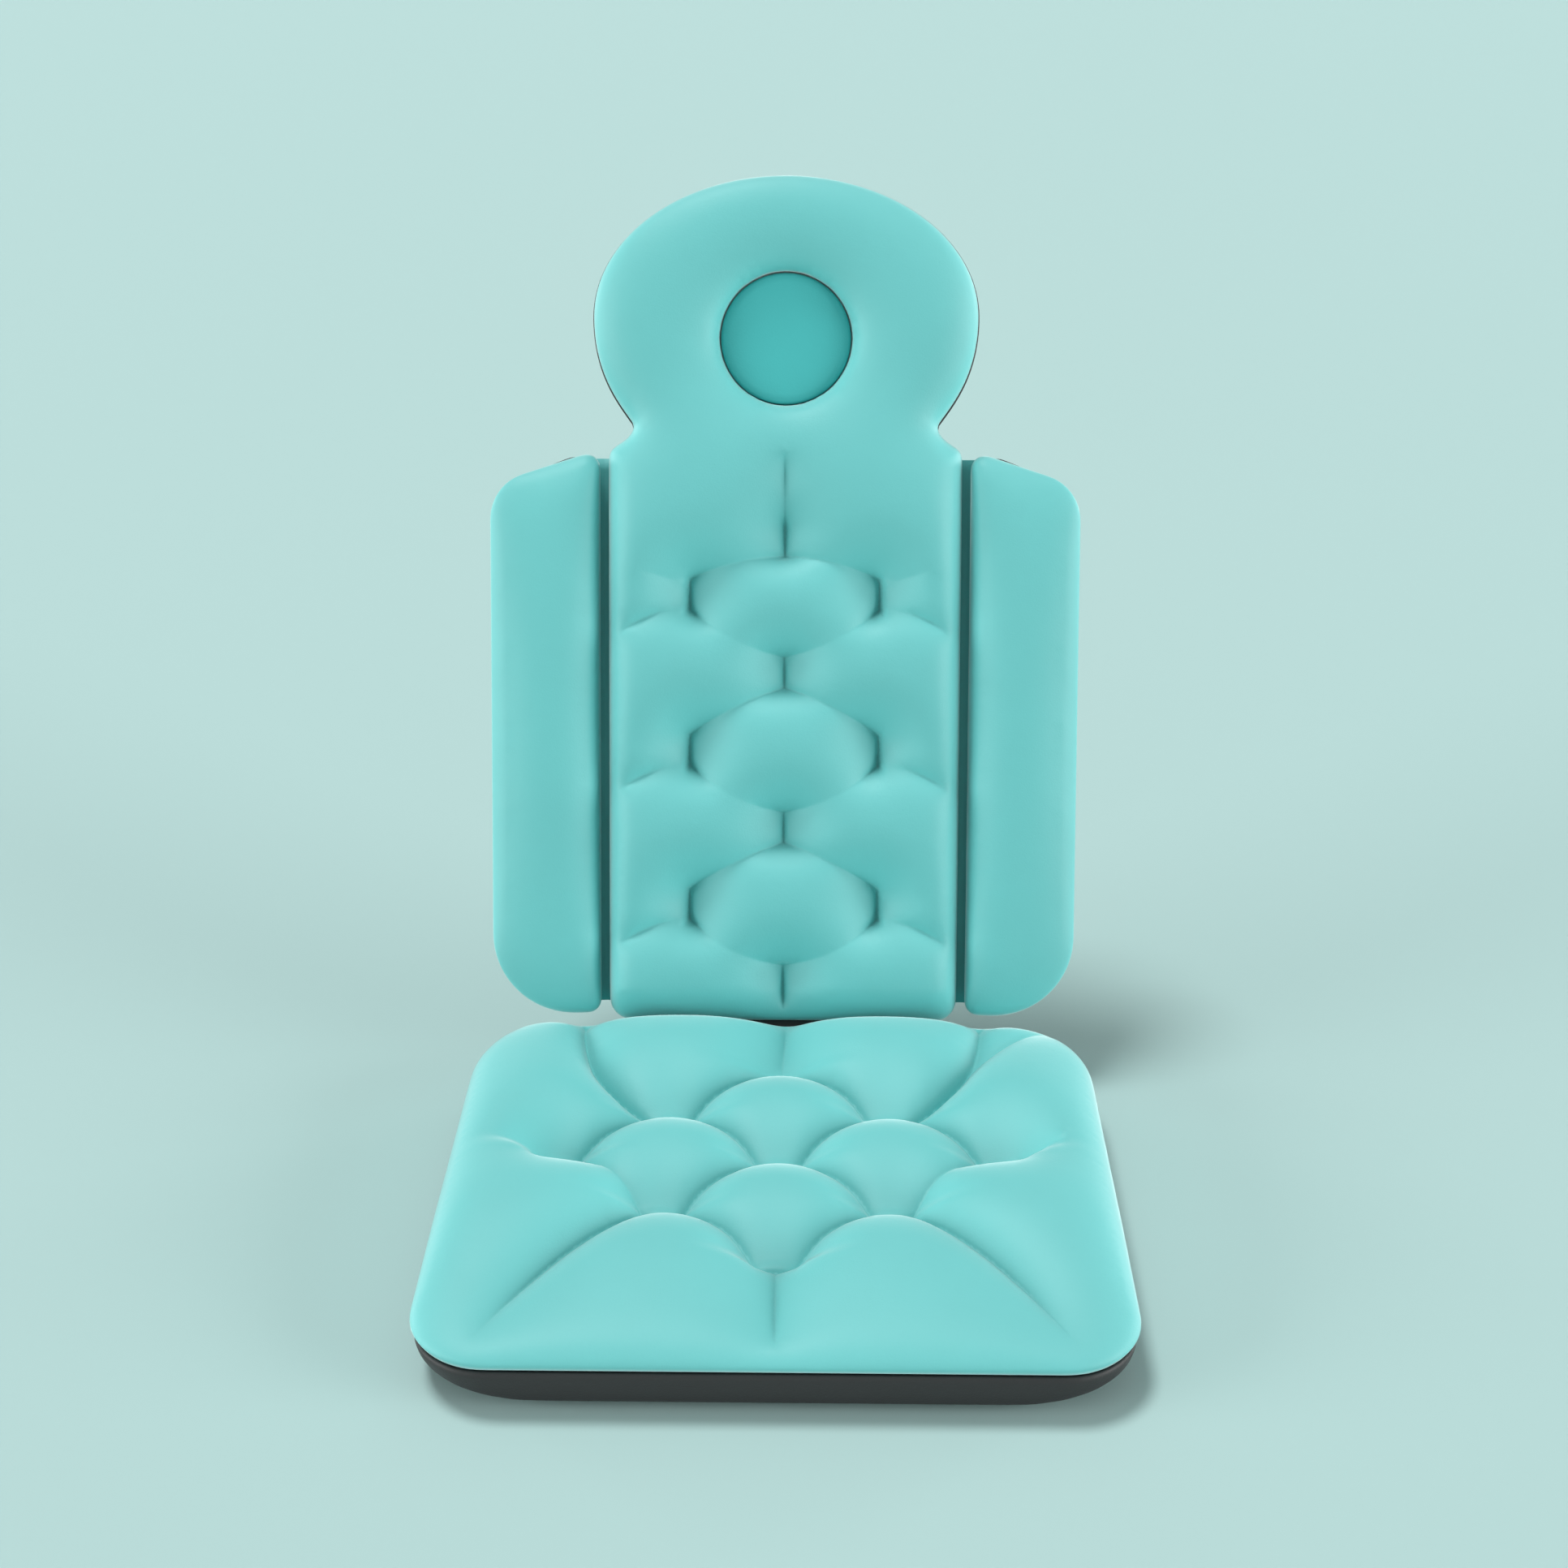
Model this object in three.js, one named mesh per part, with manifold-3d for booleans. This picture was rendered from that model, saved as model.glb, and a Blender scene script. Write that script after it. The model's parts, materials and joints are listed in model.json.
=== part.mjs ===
// Full-body bath pillow: a tufted seat, a tufted back with two side wings, and a padded headrest.
// Millimetres, +Z up, the pillow faces -Y.
//
// Every pad is drawn in one flat pattern, as if the pillow lay unfolded: x runs across, y runs up
// the pillow from the seat hinge, and z stands out of the seam plane, where each cushion is sewn to
// its backing. All the fabric hinges lie in that plane. Groups then fold the pattern to its shape.

import * as THREE from 'three';
import { mergeVertices } from 'three/addons/utils/BufferGeometryUtils.js';
import Module from 'manifold-3d';

const wasm = await Module();
wasm.setup();

// Fits
const clearance = 0.3;
const seamGap = clearance / 2;
const sliver = 0.01;
const weld = 1e-4;

// Folds
const recline = THREE.MathUtils.degToRad(20);
const wingForward = THREE.MathUtils.degToRad(10);
const hingeGap = 10;
const grooveWidth = 7;
const webThickness = 1.2;

// Seat
const seatWidth = 436;
const seatDepth = 370;
const seatRearRadius = 75;
const seatFrontRadius = 50;
const seatCrown = 26;
const seatEdgeRoll = 26;
const seatBaseHeight = 25;
const seatBaseTaper = 13;
const seatBaseRounding = 40;
const seatTuftPitchX = 73;
const seatTuftPitchY = 52;
const seatTuftSetback = 182;
const seatTuftDepth = 17;
const seatPleatDepth = 10;
const seatCornerPleat = 2.5;

// Back panel
const panelWidth = 253;
const panelCrown = 24;
const panelEdgeRoll = 14;
const panelBottomRoll = 30;
const panelCornerRadius = 16;
const shoulderHeight = 420;
const shoulderRadius = 8;
const backBackingHeight = 12;
const backBackingTaper = 9;
const backTuftPitchX = 68;
const backTuftPitchY = 56;
const lowestTuftRise = 30;
const topTuftDrop = 62;
const backTuftDepth = 15;
const backPleatDepth = 8;

// Neck and head, each height measured from the one below it
const neckWidth = 216;
const neckRise = 14;
const neckFlexRise = 12;
const neckBackingHeight = 8;
const headWidth = 274;
const headRise = 83;
const headDome = 99;
const headCrown = 35;
const headEdgeRoll = 44;

// Head recess
const recessRise = 68;
const recessRadius = 47;
const recessWallHeight = 14;
const recessEdgeRoll = 24;
const recessPanelThickness = 5;
const recessPanelCrown = 1.5;
const recessPanelGap = 1.4;

// Wings
const wingWidth = 79;
const wingFoot = 15;
const wingShoulderDrop = 8;
const wingInnerRadius = 16;
const wingTopRadius = 34;
const wingBottomRadius = 60;
const wingCrown = 24;
const wingEdgeRoll = 26;

// Cushion edges, backings and stitching
const sideHeight = 5;
const drawIn = 3;
const backingInset = 3;
const backingWall = 3;
const pillowRounding = 38;

// Suction cups
const cupRadius = 20;
const cupHeight = 6;
const cupWall = 1.4;
const cupFlare = 6;
const cupCollarRadius = 7.2;
const cupNeckRadius = 4.5;
const cupButtonRadius = 7.5;
const cupButtonThickness = 2;
const seatCupMarginX = 100;
const seatCupMarginY = 38;
const backCupMargin = 48;
const backCupRise = 85;
const backCupDrop = 95;

// Facets
const cellsPerPitch = 4;
const cornerSegments = 8;
const traySteps = 3;
const neckSteps = 6;
const cupSegments = 12;
const cupSteps = 3;
const recessSegments = 32;
const recessSteps = 3;
const headEdgeStep = 15;
const headRings = [0, 0.07, 0.2, 0.38, 0.6, 0.8, 0.93, 1];
const wingColumnStep = 10;
const wingRowStep = 21;
const edgeSteps = [3, 9];
const rowEdgeSteps = [1.5, 5, 10];
const stepClearing = 1.5;

const quarter = Math.PI / 2;
const panelHalf = panelWidth / 2;
const hingeX = panelHalf + grooveWidth / 2;
const seatRear = -hingeGap;
const seatFront = seatRear - seatDepth;
const seatTuftCentre = seatRear - seatTuftSetback;
const backBottom = hingeGap;
const backTuftLowest = backBottom + lowestTuftRise;
const backTopTuft = shoulderHeight - topTuftDrop;
const neckBottom = shoulderHeight - shoulderRadius;
const neckHeight = shoulderHeight + neckRise;
const neckTop = neckHeight + neckFlexRise;
const headWidest = neckHeight + headRise;
const recessCentre = neckHeight + recessRise;

const teal = { color: 0x6ec8c8, roughness: 0.85, metalness: 0 };
const deepTeal = { color: 0x4bb4b4, roughness: 0.85, metalness: 0 };
const grey = { color: 0x454244, roughness: 0.8, metalness: 0 };
const foam = { color: 0xe8e4d8, roughness: 0.95, metalness: 0 };
const rubber = { color: 0xcfd6d8, roughness: 0.35, metalness: 0 };

function part(name, geometry, finish) {
  const mesh = new THREE.Mesh(geometry, new THREE.MeshStandardMaterial(finish));
  mesh.name = name;
  return mesh;
}

// Vertices and triangles of one closed surface, gathered piece by piece.
class Facets {
  positions = [];
  indices = [];

  point(x, y, z) {
    this.positions.push(x, y, z);
    return this.positions.length / 3 - 1;
  }

  at(index) {
    return new THREE.Vector3().fromArray(this.positions, index * 3);
  }

  triangle(a, b, c) {
    this.indices.push(a, b, c);
  }

  // Closed loop of quads between two rings of the same count.
  band(lower, upper) {
    lower.forEach((a, i) => {
      const next = (i + 1) % lower.length;
      this.triangle(a, lower[next], upper[next]);
      this.triangle(a, upper[next], upper[i]);
    });
  }

  // Flat cover over a ring that runs counter-clockwise seen from above.
  cap(ring, facesUp) {
    const flat = ring.map((index) => new THREE.Vector2().copy(this.at(index)));
    for (const [a, b, c] of THREE.ShapeUtils.triangulateShape(flat, [])) {
      if (facesUp) this.triangle(ring[a], ring[b], ring[c]);
      else this.triangle(ring[a], ring[c], ring[b]);
    }
  }

  // Triangles between two rows of different counts. Where either diagonal would do, the one that
  // lies closer to the surface is taken, so that pleats keep a clean edge.
  sew(lower, upper, height) {
    const misfit = (a, b) => {
      const [p, q] = [this.at(a), this.at(b)];
      const middle = p.clone().lerp(q, 0.5);
      const bend = height ? Math.abs(height(middle.x, middle.y) - middle.z) : 0;
      return bend + Math.abs(p.x - q.x);
    };
    let [i, j] = [0, 0];
    while (i < lower.length - 1 || j < upper.length - 1) {
      const onLower = j === upper.length - 1 || (i < lower.length - 1
        && misfit(lower[i + 1], upper[j]) <= misfit(lower[i], upper[j + 1]));
      if (onLower) {
        this.triangle(lower[i], lower[i + 1], upper[j]);
        i += 1;
      } else {
        this.triangle(lower[i], upper[j + 1], upper[j]);
        j += 1;
      }
    }
  }

  geometry() {
    const geometry = new THREE.BufferGeometry();
    geometry.setAttribute('position', new THREE.Float32BufferAttribute(this.positions, 3));
    geometry.setIndex(this.indices);
    geometry.computeVertexNormals();
    return geometry;
  }
}

// A closed outline in the flat pattern, counter-clockwise.
class Outline {
  constructor(points) {
    const apart = points.filter((point, i) => point.distanceTo(points.at(i - 1)) > clearance / 10);
    this.points = THREE.ShapeUtils.isClockWise(apart) ? apart.reverse() : apart;
    this.edges = this.points.map((start, i) => new THREE.Line3(
      new THREE.Vector3(start.x, start.y, 0),
      new THREE.Vector3(...this.next(i).toArray(), 0),
    ));
  }

  next(i) {
    return this.points[(i + 1) % this.points.length];
  }

  // The lowest and highest rows that still cross the outline.
  reach() {
    const heights = this.points.map((point) => point.y);
    return [Math.min(...heights) + sliver, Math.max(...heights) - sliver];
  }

  nearest(x, y) {
    const place = new THREE.Vector3(x, y, 0);
    const touch = new THREE.Vector3();
    let [least, closest] = [Infinity, null];
    for (const edge of this.edges) {
      const gap = edge.closestPointToPoint(place, true, touch).distanceTo(place);
      if (gap < least) [least, closest] = [gap, edge];
    }
    return { distance: least, edge: closest };
  }

  distance(x, y) {
    return this.nearest(x, y).distance;
  }

  // A point of the edge, moved square to it into the pad.
  drawnIn({ x, y }) {
    const along = this.nearest(x, y).edge.delta(new THREE.Vector3()).normalize();
    return new THREE.Vector2(x - along.y * drawIn, y + along.x * drawIn);
  }

  // Where a straight line across the pillow enters and leaves the outline.
  spanAt(y) {
    const crossings = [];
    for (const { start, end } of this.edges) {
      if ((start.y <= y) !== (end.y <= y)) {
        crossings.push(THREE.MathUtils.mapLinear(y, start.y, end.y, start.x, end.x));
      }
    }
    return [Math.min(...crossings), Math.max(...crossings)];
  }

  // The points moved inward by the same distance all round.
  inset(distance) {
    return this.points.map((point, i) => {
      const entering = point.clone().sub(this.points.at(i - 1)).normalize();
      const leaving = this.next(i).clone().sub(point).normalize();
      const inward = new THREE.Vector2(-entering.y - leaving.y, entering.x + leaving.x).normalize();
      const shortening = Math.sqrt((1 + entering.dot(leaving)) / 2);
      return point.clone().addScaledVector(inward, distance / shortening);
    });
  }

  // The stretch between two heights, closed by straight cuts. Points of the outline closer to a cut
  // than the margin give way to the corner of the cut.
  slice(low, high, margin = clearance) {
    const keep = (points, depth) => points.flatMap((point, i) => {
      const next = points[(i + 1) % points.length];
      const kept = depth(point) >= margin ? [point] : [];
      if ((depth(point) >= 0) !== (depth(next) >= 0)) {
        kept.push(point.clone().lerp(next, depth(point) / (depth(point) - depth(next))));
      }
      return kept;
    });
    const above = Number.isFinite(low) ? keep(this.points, (point) => point.y - low) : this.points;
    return new Outline(Number.isFinite(high) ? keep(above, (point) => high - point.y) : above);
  }

  // The same outline with its long straight edges divided into steps.
  divided(longest) {
    return new Outline(this.points.flatMap((point, i) => {
      const steps = Math.ceil(point.distanceTo(this.next(i)) / longest);
      return Array.from({ length: steps }, (_, k) => point.clone().lerp(this.next(i), k / steps));
    }));
  }
}

function seatOutline(inset, rounding) {
  const [left, right] = [-seatWidth / 2 + inset, seatWidth / 2 - inset];
  const [front, rear] = [seatFront + inset, seatRear - inset];
  const rearRadius = seatRearRadius - inset + rounding;
  const frontRadius = seatFrontRadius - inset + rounding;
  const shape = new THREE.Shape();
  shape.absarc(right - frontRadius, front + frontRadius, frontRadius, -quarter, 0);
  shape.absarc(right - rearRadius, rear - rearRadius, rearRadius, 0, quarter);
  shape.absarc(left + rearRadius, rear - rearRadius, rearRadius, quarter, 2 * quarter);
  shape.absarc(left + frontRadius, front + frontRadius, frontRadius, 2 * quarter, 3 * quarter);
  return new Outline(shape.getPoints(cornerSegments));
}

// Back panel, neck and head in one outline.
function backOutline() {
  const half = new THREE.Path();
  const headHalf = headWidth / 2;
  const neckHalf = neckWidth / 2;
  const flare = headRise / 2;
  half.moveTo(0, backBottom);
  const cornerX = panelHalf - panelCornerRadius;
  half.absarc(cornerX, backBottom + panelCornerRadius, panelCornerRadius, -quarter, 0);
  half.absarc(panelHalf - shoulderRadius, neckBottom, shoulderRadius, 0, quarter);
  half.quadraticCurveTo(neckHalf, shoulderHeight, neckHalf, neckHeight);
  half.bezierCurveTo(
    headHalf - flare / 4, neckHeight + flare / 2,
    headHalf, headWidest - flare,
    headHalf, headWidest,
  );
  half.absellipse(0, headWidest, headHalf, headDome, 0, quarter);
  const right = half.getPoints(cornerSegments);
  const left = right.slice(1, -1).reverse().map((point) => new THREE.Vector2(-point.x, point.y));
  return new Outline([...right, ...left]);
}

// A right-hand wing, measured outward from its hinge. Its top edge slopes down to the outer corner.
function wingOutline() {
  const inner = grooveWidth / 2;
  const outer = inner + wingWidth;
  const innerX = inner + wingInnerRadius;
  const bottomRadius = Math.min(wingBottomRadius, wingWidth - wingInnerRadius);
  const outerTop = shoulderHeight - wingShoulderDrop;
  const outerCorner = new THREE.Vector2(outer - wingTopRadius, outerTop - wingTopRadius);
  const innerCorner = new THREE.Vector2(innerX, shoulderHeight - wingInnerRadius);
  const across = innerCorner.clone().sub(outerCorner);
  const slope = across.angle() - Math.acos((wingTopRadius - wingInnerRadius) / across.length());
  const shape = new THREE.Shape();
  shape.absarc(innerX, wingFoot + wingInnerRadius, wingInnerRadius, 2 * quarter, 3 * quarter);
  shape.absarc(outer - bottomRadius, wingFoot + bottomRadius, bottomRadius, -quarter, 0);
  shape.absarc(outerCorner.x, outerCorner.y, wingTopRadius, 0, slope);
  shape.absarc(innerCorner.x, innerCorner.y, wingInnerRadius, slope, 2 * quarter);
  return new Outline(shape.getPoints(cornerSegments));
}

// Cushion surfaces
const roll = (distance, radius) => {
  const reach = THREE.MathUtils.clamp(1 - distance / radius, 0, 1);
  return Math.sqrt(1 - reach * reach);
};

// How far sewn pleats pull a surface down. A pleat is deepest at its tufts, and the padding swells
// away from it on both sides.
function pleatPull(pleats, x, y) {
  const point = new THREE.Vector3(x, y, 0);
  const nearest = new THREE.Vector3();
  let pull = 0;
  for (const { line, depths, middle } of pleats) {
    const along = line.closestPointToPointParameter(point, true);
    line.at(along, nearest);
    const towardEnds = (2 * along - 1) ** 2;
    const depth = THREE.MathUtils.lerp(middle, THREE.MathUtils.lerp(...depths, along), towardEnds);
    pull = Math.max(pull, depth * (1 - roll(nearest.distanceTo(point), pillowRounding)));
  }
  return pull;
}

function pleat(from, to, depths, middle) {
  const line = new THREE.Line3(new THREE.Vector3(...from, 0), new THREE.Vector3(...to, 0));
  return { line, depths, middle };
}

// Rows of points over an outline: the given rows and columns, with closer steps along the edges.
function padRows(outline, rowHeights, columns) {
  return rowHeights.map((y) => {
    const [left, right] = outline.spanAt(y);
    const fitting = edgeSteps.filter((step) => right - left > 4 * step);
    const nearEdge = fitting.flatMap((step) => [left + step, right - step]);
    const clear = edgeSteps.at(-1) * stepClearing;
    const inner = columns.filter((x) => x > left + clear && x < right - clear);
    const across = [left, right, ...nearEdge, ...inner].sort((a, b) => a - b);
    return across.map((x) => new THREE.Vector2(x, y));
  });
}

function edgeRows(from, to, levels) {
  const low = [0, ...rowEdgeSteps].map((step) => from + step);
  const high = [...rowEdgeSteps.toReversed(), 0].map((step) => to - step);
  const clear = rowEdgeSteps.at(-1) * stepClearing;
  return [...low, ...levels.filter((y) => y > from + clear && y < to - clear), ...high];
}

function lattice(centre, step, reach) {
  const count = Math.ceil(reach / step);
  return Array.from({ length: 2 * count + 1 }, (_, i) => centre + (i - count) * step);
}

// A cushion from rows of points: a swelling top, a side that draws in to the seam, a flat underside.
// A first or last row that is a cut, and not an edge of the cushion, stays in its plane.
function cushionGeometry(rows, outline, height, cuts = {}) {
  const facets = new Facets();
  const last = rows.length - 1;
  const sewn = (point, r) => {
    const isCut = (r === 0 && cuts.first) || (r === last && cuts.last);
    if (!isCut) return outline.drawnIn(point);
    const half = rows[r].at(-1).x;
    return new THREE.Vector2(point.x * (1 - drawIn / half), point.y);
  };
  const top = rows.map((row) => row.map(({ x, y }) => facets.point(x, y, height(x, y))));
  const seam = rows.map((row, r) => {
    const points = r === 0 || r === last ? row : [row[0], row.at(-1)];
    return points.map((point) => facets.point(...sewn(point, r).toArray(), seamGap));
  });
  for (let r = 0; r < last; r += 1) {
    facets.sew(top[r], top[r + 1], height);
    facets.sew(seam[r].toReversed(), seam[r + 1].toReversed());
  }
  facets.band(rim(seam), rim(top));
  return facets.geometry();
}

function rim(rows) {
  const middle = rows.slice(1, -1);
  return [
    ...rows[0],
    ...middle.map((row) => row.at(-1)),
    ...rows.at(-1).toReversed(),
    ...middle.map((row) => row[0]).reverse(),
  ];
}

// A solid through rings of the same count, from the lowest, closed by flat ends.
function loft(rings) {
  const facets = new Facets();
  const placed = rings.map(({ outline, z }) => outline.map(({ x, y }) => facets.point(x, y, z)));
  facets.cap(placed[0], false);
  for (let r = 1; r < placed.length; r += 1) facets.band(placed[r - 1], placed[r]);
  facets.cap(placed.at(-1), true);
  return facets.geometry();
}

// How far a backing's rounded underside has drawn in at a share of its full height: not at all at the
// seam plane, and by the whole taper at the bottom.
const taperAt = (share) => 1 - Math.sqrt(1 - share * share);

// A tray open at the seam plane: up the outside, over the rim and down the inside.
function trayGeometry(ringAt, height) {
  const outside = Array.from({ length: traySteps }, (_, i) => {
    const share = Math.cos(quarter * i / traySteps);
    return { outline: ringAt(taperAt(share)), z: -height * share };
  });
  const floor = height - backingWall;
  return loft([
    ...outside,
    { outline: ringAt(0), z: -seamGap },
    { outline: ringAt(0, backingWall), z: -seamGap },
    { outline: ringAt(taperAt(floor / height), backingWall), z: -floor },
  ]);
}

// The foam inside a tray, clear of the buttons of its suction cups.
function fillingGeometry(ringAt, height) {
  const floor = height - backingWall;
  const inside = backingWall + clearance;
  return loft([
    { outline: ringAt(taperAt(floor / height), inside), z: cupButtonThickness + 2 * clearance - floor },
    { outline: ringAt(0, inside), z: -seamGap },
  ]);
}

function solidOf(geometry) {
  const bare = geometry.clone();
  for (const name of ['normal', 'uv']) bare.deleteAttribute(name);
  const merged = mergeVertices(bare, weld);
  return new wasm.Manifold(new wasm.Mesh({
    numProp: 3,
    vertProperties: new Float32Array(merged.attributes.position.array),
    triVerts: new Uint32Array(merged.index.array),
  }));
}

function geometryOf(solid) {
  const mesh = solid.getMesh();
  const geometry = new THREE.BufferGeometry();
  geometry.setAttribute('position', new THREE.Float32BufferAttribute(mesh.vertProperties, 3));
  geometry.setIndex(new THREE.Uint32BufferAttribute(mesh.triVerts, 1));
  geometry.computeVertexNormals();
  return geometry;
}

// Holes in a backing's floor for the necks of its suction cups.
function pierced(geometry, places, height) {
  const drill = new THREE.CylinderGeometry(
    cupNeckRadius + clearance, cupNeckRadius + clearance, 4 * backingWall, cupSegments,
  ).rotateX(quarter);
  return geometryOf(places.reduce((solid, [x, y]) => {
    const hole = drill.clone().translate(x, y, -height);
    return solid.subtract(solidOf(hole));
  }, solidOf(geometry)));
}

function mirrored(geometry) {
  const copy = geometry.clone().scale(-1, 1, 1);
  const turned = Array.from(copy.index.array);
  for (let i = 0; i < turned.length; i += 3) {
    [turned[i + 1], turned[i + 2]] = [turned[i + 2], turned[i + 1]];
  }
  copy.setIndex(turned);
  copy.computeVertexNormals();
  return copy;
}

// A suction cup: bell below the backing, neck through its floor, button inside.
function cupGeometry() {
  const neckTopZ = backingWall + clearance;
  const bell = new THREE.QuadraticBezierCurve(
    new THREE.Vector2(cupRadius, -cupHeight),
    new THREE.Vector2(cupRadius - cupFlare, -clearance - cupWall),
    new THREE.Vector2(cupCollarRadius, -clearance),
  );
  const hollow = new THREE.QuadraticBezierCurve(
    new THREE.Vector2(0, -clearance - 2 * cupWall),
    new THREE.Vector2(cupRadius - cupFlare - cupWall, -clearance - 2 * cupWall),
    new THREE.Vector2(cupRadius - cupWall, -cupHeight),
  );
  const profile = [
    ...hollow.getPoints(cupSteps),
    ...bell.getPoints(cupSteps),
    new THREE.Vector2(cupNeckRadius, -clearance),
    new THREE.Vector2(cupNeckRadius, neckTopZ),
    new THREE.Vector2(cupButtonRadius, neckTopZ),
    new THREE.Vector2(cupButtonRadius, neckTopZ + cupButtonThickness),
    new THREE.Vector2(0, neckTopZ + cupButtonThickness),
  ];
  return new THREE.LatheGeometry(profile, cupSegments).rotateX(quarter);
}

function cups(prefix, places, height) {
  return places.map(([x, y], i) => {
    const cup = part(`${prefix}_cup_${i + 1}`, cupGeometry(), rubber);
    cup.position.set(x, y, -height);
    return cup;
  });
}

function grid(columns, rows) {
  return rows.flatMap((y) => columns.map((x) => [x, y]));
}

function seat() {
  const group = new THREE.Group();
  const outline = seatOutline(0, 0);
  const tuft = (column, row) => [column * seatTuftPitchX, seatTuftCentre + row * seatTuftPitchY];
  const depths = [seatTuftDepth, seatTuftDepth];
  const sewn = (from, to) => pleat(tuft(...from), tuft(...to), depths, seatPleatDepth);
  const fading = (from, to) => pleat(from, to, [seatTuftDepth, 0], seatPleatDepth);
  const open = (from, to) => pleat(from, to, [seatPleatDepth, seatPleatDepth / 2], seatPleatDepth);
  const pleats = [];
  // Each tuft of the 1-2-3-2-1 diamond is joined to its neighbours on the diagonals.
  for (const [column, row] of [[0, 2], [-1, 1], [1, 1], [0, 0]]) {
    for (const beside of [column - 1, column + 1]) pleats.push(sewn([column, row], [beside, row - 1]));
  }
  for (const side of [-1, 1]) {
    pleats.push(sewn([2 * side, 0], [side, -1]), sewn([side, -1], [0, -2]));
    const rearBend = tuft(2 * side, 2);
    pleats.push(pleat(tuft(side, 1), rearBend, [seatTuftDepth, seatPleatDepth], seatPleatDepth));
    pleats.push(open(rearBend, [rearBend[0], seatRear - drawIn]));
    pleats.push(fading(tuft(2 * side, 0), [side * (seatWidth / 2 - seatEdgeRoll), seatTuftCentre]));
    pleats.push(fading(tuft(side, -1), tuft(side * seatCornerPleat, -seatCornerPleat)));
  }
  pleats.push(open(tuft(0, 2), [0, seatRear - drawIn]), fading(tuft(0, -2), [0, seatFront + drawIn]));

  const height = (x, y) => {
    const swell = roll(outline.distance(x, y), seatEdgeRoll);
    const full = sideHeight + (seatCrown - sideHeight) * swell;
    return full - pleatPull(pleats, x, y) * swell;
  };
  const columns = lattice(0, seatTuftPitchX / cellsPerPitch, seatWidth / 2);
  const levels = lattice(seatTuftCentre, seatTuftPitchY / cellsPerPitch, seatDepth);
  const rows = padRows(outline, edgeRows(...outline.reach(), levels), columns);
  group.add(part('seat_cushion', cushionGeometry(rows, outline, height), teal));

  const ringAt = (depth, wall = 0) => {
    const inset = backingInset + depth * seatBaseTaper + wall;
    return seatOutline(inset, depth * seatBaseRounding).points;
  };
  const cupColumn = seatWidth / 2 - seatCupMarginX;
  const cupRows = [seatRear - seatCupMarginY, (seatRear + seatFront) / 2, seatFront + seatCupMarginY];
  const places = grid([-cupColumn, cupColumn], cupRows);
  const tray = pierced(trayGeometry(ringAt, seatBaseHeight), places, seatBaseHeight);
  group.add(part('seat_base', tray, grey));
  group.add(part('seat_filling', fillingGeometry(ringAt, seatBaseHeight), foam));
  group.add(...cups('seat', places, seatBaseHeight));
  return group;
}

// Height of the back panel, neck and head above the seam plane.
function backSurface(outline) {
  const tuft = (column, row) => [column * backTuftPitchX, backTuftLowest + row * backTuftPitchY];
  const depths = [backTuftDepth, backTuftDepth];
  const fading = [backTuftDepth, 0];
  const crown = [0, backTopTuft];
  const pleats = [pleat(tuft(0, 0), [0, backBottom], fading, backPleatDepth)];
  pleats.push(pleat(crown, [0, neckBottom], fading, backPleatDepth));
  for (const side of [-1, 1]) {
    for (const row of [0, 2, 4]) {
      const beside = tuft(side, row + 1);
      const above = row === 4 ? crown : tuft(0, row + 2);
      pleats.push(pleat(tuft(0, row), beside, depths, backPleatDepth));
      pleats.push(pleat(beside, above, depths, backPleatDepth));
      pleats.push(pleat(beside, [side * (panelHalf - panelEdgeRoll), beside[1]], fading, backPleatDepth / 2));
    }
  }
  return (x, y) => {
    const toHead = THREE.MathUtils.smoothstep(y, neckBottom, headWidest);
    const edgeRoll = THREE.MathUtils.lerp(panelEdgeRoll, headEdgeRoll, toHead);
    const crownHeight = THREE.MathUtils.lerp(panelCrown, headCrown, toHead);
    const toRecess = Math.hypot(x, y - recessCentre) - recessRadius;
    const lip = THREE.MathUtils.lerp(recessWallHeight / headCrown, 1, roll(toRecess, recessEdgeRoll));
    const swell = roll(outline.distance(x, y), edgeRoll) * roll(y - backBottom, panelBottomRoll);
    const full = sideHeight + (crownHeight - sideHeight) * swell * lip;
    return full - pleatPull(pleats, x, y) * swell;
  };
}

function backPad(outline, surface) {
  const group = new THREE.Group();
  const panel = outline.slice(-Infinity, neckBottom);
  const [lowest] = outline.reach();
  const levels = lattice(backTuftLowest, backTuftPitchY / cellsPerPitch, neckBottom);
  const columns = lattice(0, backTuftPitchX / cellsPerPitch, panelHalf);
  const rows = padRows(outline, edgeRows(lowest, neckBottom, levels), columns);
  group.add(part('back_cushion', cushionGeometry(rows, outline, surface, { last: true }), teal));
  const ringAt = (depth, wall = 0) => panel.inset(backingInset + depth * backBackingTaper + wall);
  const cupColumn = panelHalf - backCupMargin;
  const places = grid([-cupColumn, cupColumn], [backBottom + backCupRise, shoulderHeight - backCupDrop]);
  const tray = pierced(trayGeometry(ringAt, backBackingHeight), places, backBackingHeight);
  group.add(part('back_backing', tray, grey));
  group.add(part('back_filling', fillingGeometry(ringAt, backBackingHeight), foam));
  group.add(...cups('back', places, backBackingHeight));
  return group;
}

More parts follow.
